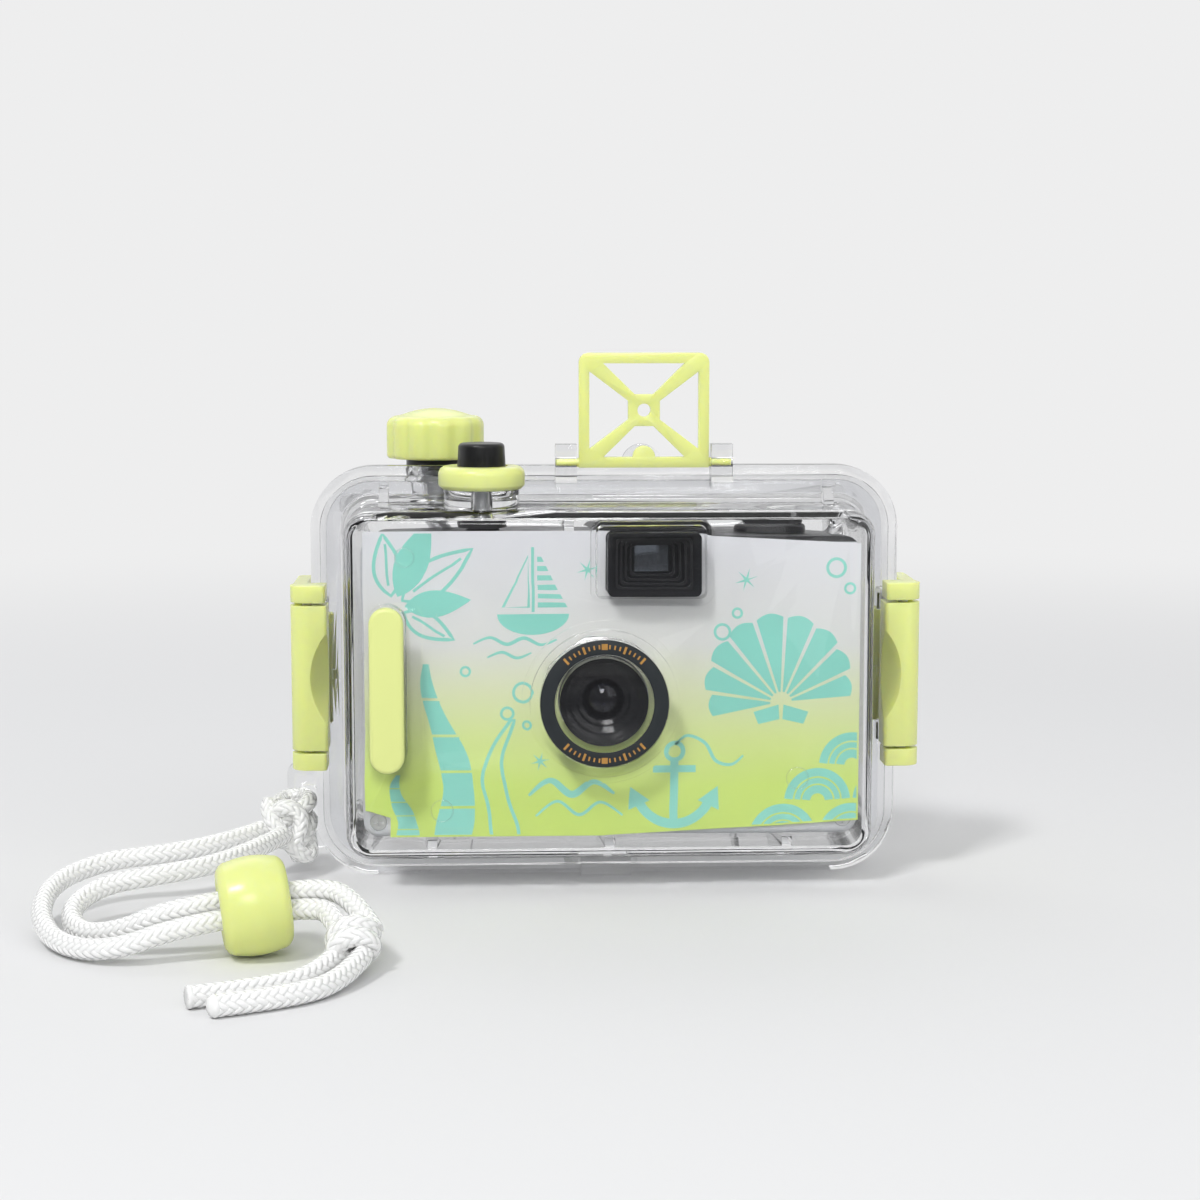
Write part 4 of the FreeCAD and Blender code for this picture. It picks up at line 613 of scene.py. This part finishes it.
def knot_path():
    """Two turns round the strands, in millimetres."""
    centre = mm(*KNOT_CENTRE)
    axis = Vector(KNOT_AXIS).normalized()
    e1 = axis.cross(Vector((0, 0, 1))).normalized()
    e2 = axis.cross(e1)
    points = []
    count = round(KNOT_TURNS * KNOT_STEPS)
    for i in range(-2, count + 3):
        t = i / KNOT_STEPS
        ang = 2 * math.pi * t + 0.6
        along = (t - KNOT_TURNS / 2) * KNOT_PITCH
        beyond = max(-i, i - count, 0)
        p = centre + axis * (along * (1 - 0.25 * beyond)) * MM + (
            e1 * math.cos(ang) * 1.12 + e2 * math.sin(ang) * 0.95) * KNOT_REACH[beyond] * MM
        points.append(tuple(v / MM for v in p))
    return points


# The hitch's turns over the lug
HITCH_CORD = 3.6
HITCH_PATHS = [
    [(-68.6, -2.6, 15.0), (-68.9, 0.8, 14.9), (-67.6, 5.0, 15.2), (-64.2, 5.2, 15.6), (-62.4, 2.2, 15.6),
     (-62.4, -1.6, 15.2), (-64.6, -3.6, 13.8), (-68.0, -4.4, 11.8), (-70.2, -4.6, 10.9)],
    [(-69.4, -3.2, 9.0), (-69.0, 1.0, 10.9), (-67.4, 5.0, 11.2), (-64.2, 5.2, 11.4), (-62.3, 2.2, 11.4),
     (-62.3, -2.0, 10.4), (-63.4, -4.8, 8.0), (-66.6, -6.6, 8.2), (-68.6, -9.0, 9.4)],
    [(-70.2, -3.0, 15.9), (-70.4, -4.6, 14.4), (-69.2, -6.6, 12.0), (-66.6, -6.8, 8.6), (-63.6, -5.8, 5.2),
     (-61.9, -3.6, 4.6), (-62.2, -1.6, 7.4), (-63.2, -1.4, 10.4)],
    [(-69.6, -3.4, 12.4), (-68.4, -5.2, 14.8), (-65.9, -5.6, 15.4), (-63.6, -5.2, 13.8), (-63.6, -5.8, 10.6),
     (-65.6, -6.4, 7.6), (-64.0, -5.2, 4.8)],
]


# Cord bead: a barrel with rounded ends and a bore for the two strands

BEAD_CENTRE, BEAD_YAW, BEAD_PITCH = (-67.6, -65.0, 9.6), 10.0, 6.0
BEAD_HALF, BEAD_RADIUS, BEAD_ROUND, BEAD_BULGE = 6.4, 9.2, 2.6, 0.5
BEAD_BORE, BEAD_MOUTH = 4.7, 1.3


def bead():
    turn = (Matrix.Translation(mm(*BEAD_CENTRE)) @ Matrix.Rotation(math.radians(BEAD_YAW), 4, "Z")
            @ Matrix.Rotation(-math.radians(BEAD_PITCH), 4, "Y"))
    flat_half = BEAD_HALF - BEAD_ROUND
    ball = ball_radius(flat_half, BEAD_BULGE)
    lean = math.degrees(math.asin(flat_half / ball))
    side = arc_points(0, BEAD_RADIUS - ball, ball, 90 + lean, 90 - lean, 24)
    corner = arc_points(flat_half, BEAD_RADIUS - BEAD_BULGE - BEAD_ROUND, BEAD_ROUND, 90 - lean, 0, 14)[1:]
    mouth = arc_points(BEAD_HALF - BEAD_MOUTH, BEAD_BORE + BEAD_MOUTH, BEAD_MOUTH, 0, -90, 8)
    end = corner + mouth
    other_end = [(-x, y) for x, y in reversed(mouth)] + [(-x, y) for x, y in reversed(corner)]
    obj = lathe("bead_barrel", side + end + other_end, turn, looks["yellow_plastic"])
    placed(obj, "bead", "yellow_plastic", "cord_bead")
    return obj


bead_piece = bead()
knot_piece = tied_turns("knot_turns", "cord_knot", [knot_path()], KNOT_CORD)
hitch_piece = tied_turns("hitch_turns", "cord_hitch", HITCH_PATHS, HITCH_CORD)

# Piece, node, route, length in metres, far end, and the rise of its melted cap in millimetres
STRANDS = (
    ("strand_outer_braid", "cord_strand_outer", OUTER_ROUTE, 0.148, "knot", None),
    ("strand_inner_braid", "cord_strand_inner", INNER_ROUTE, 0.136, "knot", None),
    ("tail_back_braid", "cord_tail_back", BACK_TAIL, 0.0348, "bare", 0.1),
    ("tail_front_braid", "cord_tail_front", FRONT_TAIL, 0.0356, "bare", 0.9),
)
for name, node, route, length, far_end, crown in STRANDS:
    piece, line = strand(name, node, route, crown)


# Sheet: the print, drawn in millimetres on the sheet's own plane

LENS = (-1.3, 40.0)
SHEET_FRONT, TRIM_FRONT = -20.35, -26.2
# The first layer of ink lies a lift in front of its plane, and each next one a layer further, over and over
INK_LIFT, INK_LAYER, INK_LAYERS = 0.012, 0.004, 6
# The sheet's corners, clockwise
SHEET_EDGE = [(-49.0, 18.2), (-49.0, 73.8), (-1.3, 73.8), (50.2, 71.1), (50.2, 15.2), (-1.3, 12.5),
              (-44.0, 12.5)]


def clipped(polygon, edge):
    """The part of a polygon that lies inside an edge that runs clockwise."""
    shape = list(polygon)
    for a, b in zip(edge, edge[1:] + edge[:1]):
        kept = []
        for p, q in zip(shape, shape[1:] + shape[:1]):
            side_p = (b[0] - a[0]) * (p[1] - a[1]) - (b[1] - a[1]) * (p[0] - a[0])
            side_q = (b[0] - a[0]) * (q[1] - a[1]) - (b[1] - a[1]) * (q[0] - a[0])
            if side_p <= 0:
                kept.append(p)
            if (side_p < 0 < side_q) or (side_q < 0 < side_p):
                t = side_p / (side_p - side_q)
                kept.append((p[0] + t * (q[0] - p[0]), p[1] + t * (q[1] - p[1])))
        shape = kept
        if len(shape) < 3:
            return []
    return shape


class Print:
    """Flat inked shapes a hair in front of a plane that faces the viewer."""

    def __init__(self, front):
        self.y, self.verts, self.faces, self.layer = front - INK_LIFT, [], [], 0

    def fill(self, outline, edge=SHEET_EDGE):
        self.layer += 1
        self.ink(outline, edge)

    def ink(self, outline, edge=SHEET_EDGE):
        """Fills an outline in the present layer, as far as edge lets it reach."""
        shape = clipped(outline, edge) if edge else list(outline)
        if len(shape) < 3:
            return
        area = sum(a[0] * b[1] - b[0] * a[1] for a, b in zip(shape, shape[1:] + shape[:1]))
        if area < 0:
            shape.reverse()
        base = len(self.verts)
        self.verts += [mm(x, self.y - INK_LAYER * (self.layer % INK_LAYERS), z) for x, z in shape]
        for tri in tessellate_polygon([[Vector((x, z, 0)) for x, z in shape]]):
            self.faces.append(tuple(base + i for i in tri))

    def line(self, points, width, closed=False, ends=None):
        """A pen line, as wide as width at its middle, and as wide as ends at its ends if that is given."""
        self.layer += 1
        pts = [Vector(p) for p in points]
        n = len(pts)
        sides = []
        for i, p in enumerate(pts):
            before = pts[(i - 1) % n] if closed or i else p
            after = pts[(i + 1) % n] if closed or i < n - 1 else p
            go = (after - before).normalized()
            w = width if ends is None else ends + (width - ends) * math.sin(math.pi * i / (n - 1))
            out = Vector((-go.y, go.x)) * (w / 2)
            sides.append((tuple(p + out), tuple(p - out)))
        for i in range(n if closed else n - 1):
            (a, b), (c, d) = sides[i], sides[(i + 1) % n]
            self.ink([a, c, d, b])

    def done(self, name, look, slot):
        """Makes the piece, with all its faces turned to the viewer."""
        obj = mesh_object(name, self.verts, self.faces, looks[look], smooth=False)
        bm = bmesh.new()
        bm.from_mesh(obj.data)
        bmesh.ops.recalc_face_normals(bm, faces=bm.faces)
        for f in bm.faces:
            if f.normal.y > 0:
                f.normal_flip()
        bm.to_mesh(obj.data)
        bm.free()
        placed(obj, "case", slot)


def flowing(points, per=10):
    """A smooth line through points."""
    out = []
    last = len(points) - 1
    for i in range(last):
        p0, p1, p2, p3 = (Vector(points[min(max(k, 0), last)]) for k in (i - 1, i, i + 1, i + 2))
        for j in range(per):
            t = j / per
            out.append(tuple(0.5 * (2 * p1 + (p2 - p0) * t + (2 * p0 - 5 * p1 + 4 * p2 - p3) * t * t
                                    + (3 * p1 - p0 - 3 * p2 + p3) * t ** 3)))
    out.append(tuple(points[-1]))
    return out


def wave(art, points, width, ends):
    """A curling pen line through points, finer at its ends."""
    art.line(flowing(points), width, ends=ends)


RING_SIDES = 48


def ring(art, x, z, r, width):
    last = RING_SIDES - 1
    art.line(arc_points(x, z, r, 0, 360 * last / RING_SIDES, last), width, closed=True)


def shell_fan(art, x, z, r, tilt):
    """A scallop: ribs that fan out from a hinge, with a wavy edge and two small wings."""
    ribs, spread, root = 9, 21, 2.2
    for i in range(ribs):
        place = i - (ribs - 1) / 2
        middle = math.radians(90 + tilt + place * spread)
        half = math.radians(spread) / 2
        reach = r * (1 - 0.012 * place ** 2)
        tip = []
        for k in range(9):
            share = k / 4 - 1
            a = middle + half * 0.86 * share
            far = reach + 0.045 * reach * math.cos(share * math.pi / 2)
            tip.append((x + far * math.cos(a), z + far * math.sin(a)))
        for a in (middle + half * 0.5, middle - half * 0.5):
            tip.append((x + root * math.cos(a), z + root * math.sin(a)))
        art.fill(tip)
    for side in (-1, 1):
        art.fill([(x + side * 0.5, z - 0.4), (x + side * 5.6, z - 1.9), (x + side * 4.6, z - 4.4),
                  (x + side * 0.3, z - 3.4)])


def weed(art, x, z, height, sway, width, phase, filled):
    """A ribbon of weed that sways as it rises. A filled one is cut by pale gaps."""
    count, gap_every, before_gap = 40, 8, 0.4
    spine = [(x + sway * math.sin(phase + 4.6 * i / count) * (0.3 + i / count), z + height * i / count)
             for i in range(count + 1)]
    left, right = [], []
    for i, (px, pz) in enumerate(spine):
        w = width * (1 - 0.85 * (i / count) ** 2) * (1 + 0.08 * math.sin(5 * math.pi * i / count))
        left.append((px - w / 2, pz))
        right.append((px + w / 2, pz))
    if not filled:
        art.line(left + list(reversed(right)), 0.7)
        return
    for i in range(count):
        (lx, low), (rx, _) = left[i], right[i]
        if i % gap_every != gap_every - 1:
            art.fill([left[i], left[i + 1], right[i + 1], right[i]])
        else:
            high = low + before_gap * (left[i + 1][1] - low)
            art.fill([left[i], (lx, high), (rx, high), right[i]])


def leaf(art, x, z, length, width, angle, filled):
    """A leaf that points along angle, either filled or as an outline with a rib."""
    c, s = math.cos(math.radians(angle)), math.sin(math.radians(angle))

    def put(u, v):
        return (x + u * c - v * s, z + u * s + v * c)

    def edge(t, side):
        return put(length * t / 12, side * width * math.sin(math.pi * (t / 12) ** 0.8))

    outline = [edge(t, 1) for t in range(13)] + [edge(t, -1) for t in range(11, 0, -1)]
    if filled:
        art.fill(outline)
        return
    art.line(outline, 0.72, closed=True)
    art.line([put(length * t / 6, 0.25 * math.sin(t)) for t in range(1, 6)], 0.55)


def boat(art, x, z):
    """A small sailing boat: a hull, a mast, a striped sail and an open one."""
    half, draught, low_edge, sail, rows = 7.2, 4.2, 1.3, 11.2, 6
    keel = (math.pi + math.pi * k / 16 for k in range(1, 16))
    art.fill([(x - half, z), *((x + half * math.cos(a), z + draught * math.sin(a)) for a in keel),
              (x + half, z)])
    art.fill([(x - 0.3, z + 0.4), (x - 0.3, z + 13.6), (x + 0.3, z + 13.6), (x + 0.3, z + 0.4)])
    for i in range(rows):
        low, high = low_edge + sail * i / rows, low_edge + sail * (i + 0.56) / rows
        art.fill([(x + 0.9, z + low), (x + 0.9, z + high), (x + 0.9 + 6.6 * (1 - high / 13.4), z + high),
                  (x + 0.9 + 6.6 * (1 - low / 13.4), z + low)])
    art.line([(x - 0.9, z + 1.4), (x - 0.9, z + 11.8), (x - 6.0, z + 1.4)], 0.6, closed=True)


def anchor(art, x, z, size):
    """An anchor: a ring, a shank, a stock and an arm with two flukes."""
    k = size / 16

    def put(*places):
        return [(x + u * k, z + v * k) for u, v in places]

    ring(art, x, z + 7.6 * k, 1.7 * k, 0.9 * k)
    art.fill(put((-0.8, -7.0), (-0.8, 6.0), (0.8, 6.0), (0.8, -7.0)))
    art.fill(put((-4.2, 3.4), (-4.2, 4.8), (4.2, 4.8), (4.2, 3.4)))
    art.line(arc_points(x, z + 0.4 * k, 7.4 * k, 200, 340, 24), 1.9 * k)
    for side in (-1, 1):
        art.fill(put((side * 8.6, 0.6), (side * 8.9, -4.2), (side * 4.7, -2.2)))


def spark(art, x, z, r):
    """A small star of three thin blades."""
    for i in range(3):
        a = math.radians(60 * i + 15)
        c, s = math.cos(a) * r, math.sin(a) * r
        n = (-math.sin(a) * 0.3, math.cos(a) * 0.3)
        art.fill([(x - c, z - s), (x + n[0], z + n[1]), (x + c, z + s), (x - n[0], z - n[1])])


def swell(art, x, z, r):
    """A round wave: three arcs, one in another."""
    for i in range(3):
        art.line(arc_points(x, z, r * (1 - 0.3 * i), 4, 176, 28), 1.15 if i % 2 else 1.7)


def sheet_print():
    art = Print(SHEET_FRONT)
    shell_fan(art, 34.6, 39.2, 17.5, 8)
    for x, z, r, width in ((22.6, 53.6, 1.5, 0.55), (25.6, 57.4, 0.9, 0.5), (45.6, 66.6, 1.8, 0.6),
                           (48.4, 62.4, 1.0, 0.5)):
        ring(art, x, z, r, width)
    boat(art, -15.4, 57.4)
    wave(art, [(-27.4, 51.6), (-24.0, 52.8), (-20.6, 51.4), (-17.2, 52.6), (-13.8, 51.2), (-10.6, 52.2)],
         0.75, 0.35)
    wave(art, [(-24.6, 48.8), (-21.6, 49.8), (-18.6, 48.6), (-15.7, 49.6)], 0.65, 0.3)
    weed(art, -32.6, 11.0, 37.0, 3.6, 7.2, 0.6, True)
    weed(art, -21.6, 11.0, 25.0, 2.4, 5.2, 2.4, False)
    weed(art, -41.6, 11.0, 14.0, 1.8, 4.4, 1.2, True)
    for length, width, angle, filled in (
            (12.5, 2.7, 97, False), (17.0, 3.3, 66, True), (17.5, 3.3, 36, False), (13.5, 2.8, 5, True),
            (11.5, 2.4, -28, False)):
        c, s = math.cos(math.radians(angle)), math.sin(math.radians(angle))
        leaf(art, -43.6 + 2.4 * c, 59.0 + 2.4 * s, length, width, angle, filled)
    for x, z, r, width in ((-17.4, 41.6, 1.9, 0.6), (-20.6, 37.4, 1.2, 0.55), (-16.6, 35.0, 0.8, 0.5),
                           (-29.0, 46.0, 0.9, 0.5)):
        ring(art, x, z, r, width)
    anchor(art, 13.0, 21.6, 16.5)
    wave(art, [(13.2, 30.8), (15.6, 32.6), (19.2, 31.0), (21.4, 27.4), (24.6, 26.6), (27.0, 28.4)],
         0.7, 0.4)
    for x, z in ((35.2, 11.6), (49.2, 11.6), (42.2, 18.9), (56.2, 18.9), (49.2, 26.2)):
        swell(art, x, z, 5.9)
    wave(art, [(-16.4, 20.4), (-12.0, 23.6), (-7.6, 20.6), (-3.2, 23.4), (1.0, 20.8)], 1.5, 0.5)
    wave(art, [(-15.0, 16.2), (-10.6, 19.2), (-6.2, 16.4), (-1.8, 19.0), (2.6, 16.2)], 0.65, 0.4)
    for x, z, r in ((27.4, 64.2, 2.4), (-14.0, 27.6, 2.0), (-4.4, 66.4, 2.2)):
        spark(art, x, z, r)
    art.done("sheet_print", "aqua_print", "printed_sheet")


TICKS, TICK_STEP, TICK_RADIUS = 17, 5.2, 11.5


def trim_marks():
    """Gold marks round the lens: two rows of ticks with a small square at the middle of each."""
    art = Print(TRIM_FRONT)
    for middle in (90, 270):
        for i in range(TICKS):
            a = math.radians(middle + (i - (TICKS - 1) / 2) * TICK_STEP)
            length, half = (0.85, 0.16) if i % 4 else (1.5, 0.24)
            if i == (TICKS - 1) // 2:
                length, half = 1.2, 0.6
            c, s = math.cos(a), math.sin(a)
            near, far = TICK_RADIUS - length / 2, TICK_RADIUS + length / 2
            art.fill([(LENS[0] + r * c - side * s, LENS[1] + r * s + side * c)
                      for r, side in ((near, half), (far, half), (far, -half), (near, -half))], edge=None)
    art.done("trim_marks", "gold_print", "black_print")


sheet_print()
trim_marks()


# Wind knob: soft flutes that fade into its shoulder

KNOB_CENTRE = (-35.4, 12.0)
KNOB_LOW, KNOB_SHOULDER, KNOB_TOP, KNOB_SEAT = 86.8, 95.7, 97.3, 6.0
KNOB_RADIUS, KNOB_DOME, KNOB_RISE, KNOB_BORE = 10.35, 7.6, 1.6, 2.5
FOOT_ROUND, SHOULDER_ROUND, BORE_EDGE, RIM = 0.8, 2.1, 0.3, 2.2
FLUTES, FLUTE_DEPTH, FLUTE_TURN = 12, 0.62, 0.9
KNOB_SIDES = 288


def wind_knob():
    """Each row has its radius, its level and the share of the flutes' depth that it takes."""
    seat, foot, wall_top = KNOB_LOW + KNOB_SEAT, KNOB_LOW + FOOT_ROUND, KNOB_SHOULDER - SHOULDER_ROUND
    rows = [(0.0, seat, 0.0), (KNOB_BORE, seat, 0.0), (KNOB_BORE, KNOB_LOW + BORE_EDGE, 0.0),
            (KNOB_BORE + BORE_EDGE, KNOB_LOW, 0.0), (KNOB_RADIUS - RIM, KNOB_LOW, 0.0)]
    for k in range(9):
        a = math.pi / 2 * k / 8
        rows.append((KNOB_RADIUS - FOOT_ROUND + FOOT_ROUND * math.sin(a), foot - FOOT_ROUND * math.cos(a),
                     0.6 + 0.4 * k / 8))
    rows += [(KNOB_RADIUS, foot + (wall_top - foot) * k / 8, 1.0) for k in range(1, 9)]
    for k in range(1, 13):
        a = math.pi / 2 * k / 12
        rows.append((KNOB_RADIUS - SHOULDER_ROUND + SHOULDER_ROUND * math.cos(a),
                     wall_top + SHOULDER_ROUND * math.sin(a), 1.0 - 0.85 * k / 12))
    rows.append((KNOB_DOME + 0.35, KNOB_SHOULDER + 0.02, 0.0))
    ball = ball_radius(KNOB_DOME, KNOB_RISE)
    rows += [(r, KNOB_TOP - ball + math.sqrt(ball ** 2 - r ** 2), 0.0)
             for r in (KNOB_DOME * (1 - k / 10) for k in range(1, 11))]
    verts = []
    for r, z, share in rows:
        for a in angles(KNOB_SIDES):
            groove = 0.5 + 0.5 * math.cos(FLUTES * a + FLUTE_TURN)
            wide = r - FLUTE_DEPTH * share * groove ** 1.6
            verts.append(mm(KNOB_CENTRE[0] + wide * math.cos(a), KNOB_CENTRE[1] + wide * math.sin(a), z))
    faces = bands(0, len(rows), KNOB_SIDES)
    obj = tidied(mesh_object("wind_knob_fluted", verts, faces, looks["yellow_plastic"]))
    placed(obj, "knob", "yellow_plastic", "wind_knob")


wind_knob()


# Fine work in the lens barrel and the viewfinder, the front glass and the marks on the case

CASE_FRONT = -23.0
BARREL_FRONT, THREADS, THREAD_DEPTH = -23.9, 17, 0.12
FINDER = (8.8, 68.1)
BEZEL_Z, BEZEL_FRONT, BEZEL_DEPTH = 67.65, -24.2, 6.0
BEZEL_MOUTH, BEZEL_THROAT = (8.5, 5.55), (3.4, 2.7)
LEDGE_ROOT, LEDGE_REACH, LEDGE_THICK, LEDGE_ROUND = 0.25, 0.42, 0.35, 1.5
GLASS_RADIUS, GLASS_BULGE, GLASS_RIM, GLASS_BACK = 3.9, 1.6, -20.0, -17.8


def barrel_rings():
    """Fine threads down the funnel of the lens barrel."""
    profile = []
    for k in range(THREADS):
        t = k / (THREADS - 1)
        crest = THREAD_DEPTH if k % 2 else 0.0
        profile.append((BARREL_FRONT + 0.85 + 1.5 * t - crest, 7.9 - 1.35 * t))
    profile += [(BARREL_FRONT + 2.6, 6.7), (BARREL_FRONT + 1.0, 8.1)]
    obj = lathe("barrel_threads", profile, facing_front(LENS[0], 0, LENS[1]), looks["black_gloss"])
    placed(obj, "case", "black_plastic")


def bezel_steps():
    """Narrow ledges with round corners, one behind another, down the funnel of the viewfinder."""
    verts, faces = [], []
    for share in (0.16, 0.36, 0.56, 0.78):
        front = BEZEL_FRONT + BEZEL_DEPTH * share
        back = front + LEDGE_THICK
        half_x, half_z = (wide + (narrow - wide) * share for wide, narrow in zip(BEZEL_MOUTH, BEZEL_THROAT))
        middle = BEZEL_Z + (FINDER[1] - BEZEL_Z) * share
        base = len(verts)
        for y, out in ((front, LEDGE_ROOT), (front, -LEDGE_REACH), (back, -LEDGE_REACH), (back, LEDGE_ROOT)):
            r = LEDGE_ROUND + out
            for sx, sz, first in ((1, 1, 0), (-1, 1, 90), (-1, -1, 180), (1, -1, 270)):
                corner = arc_points(sx * (half_x + out - r), sz * (half_z + out - r), r, first, first + 90, 8)
                verts += [mm(FINDER[0] + x, y, middle + z) for x, z in corner]
        faces += bands(base, 4, (len(verts) - base) // 4, closed=True, flip=True)
    obj = mesh_object("viewfinder_steps", verts, faces, looks["black_plastic"], smooth=False)
    placed(obj, "case", "black_plastic")


def front_element():
    """The domed front glass."""
    ball = ball_radius(GLASS_RADIUS, GLASS_BULGE)
    half = math.degrees(math.asin(GLASS_RADIUS / ball))
    dome = arc_points(GLASS_RIM - GLASS_BULGE + ball, 0, ball, 180, 180 - half, 20)
    obj = lathe("front_element_dome", dome + [(GLASS_BACK, GLASS_RADIUS), (GLASS_BACK, 0.0)],
                facing_front(LENS[0], 0, LENS[1]), looks["lens_glass"])
    placed(obj, "case", node_slot["front_element"], "front_element")


def mould_marks():
    """Low rings that the ejector pins left on the front of the clear case."""
    for i, (x, z, radius) in enumerate(((-41.0, 69.2, 1.9), (-33.9, 17.9, 2.2), (37.9, 24.0, 2.2))):
        obj = lathe(f"mould_mark_{i + 1}", arc_points(-0.03, radius, 0.11, 0, 315, 7),
                    facing_front(x, CASE_FRONT, z), looks["clear_plastic"])
        placed(obj, "case", "clear_plastic")


barrel_rings()
bezel_steps()
front_element()
mould_marks()


# Case and camera

# Nodes that are drawn again with round edges, and the edges' width in millimetres
BEVELS = {
    "latch_lever_left": 0.6, "latch_lever_right": 0.6, "latch_yoke_left": 0.6, "latch_yoke_right": 0.6,
    "finder_frame": 0.3, "button_guard_ring": 0.25, "button_cap": 0.2, "grip_pad": 0.3,
    "camera_front_cover": 0.2, "viewfinder_bezel": 0.2, "front_shell": 0.4, "back_shell": 0.22,
    "seal_ring": 0.25, "lens_trim_ring": 0.06, "printed_sleeve": 0.0, "button_spring": 0.0,
    "release_spring": 0.0,
}
# Nodes whose look isn't their slot's own
OTHER_LOOKS = {"shutter_blade": "blued_steel", "lens_barrel": "black_gloss",
               "viewfinder_bezel": "black_gloss", "viewfinder_window": "dark_window"}
# Clear pieces that touch are drawn a hair apart, in millimetres
HAIR = 0.03
BACKED_OFF = {
    "front_shell": [(0.0, -HAIR)],
    "seal_ring": [(0.0, HAIR), (1.6, -HAIR)],
    "lens_trim_ring": [(-25.7, -HAIR)],
    "grip_pad": [(-26.2, -HAIR)],
}
# Nodes that a piece above stands for
MADE_ANEW = ("cord_bead", "wind_knob", "front_element")
SPRING_JOINTS = {"button_spring": "button_press", "release_spring": "release_press"}

for node in nodes:
    slot = node_slot[node]
    look = looks[OTHER_LOOKS.get(node, slot)]
    if node in BEVELS:
        piece = refined(node, BEVELS[node], look, BACKED_OFF.get(node, ()))
        if node in SPRING_JOINTS:
            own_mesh(piece)
    elif slot != "cord_braid" and node not in MADE_ANEW:
        for place in nodes[node].material_slots:
            place.material = look
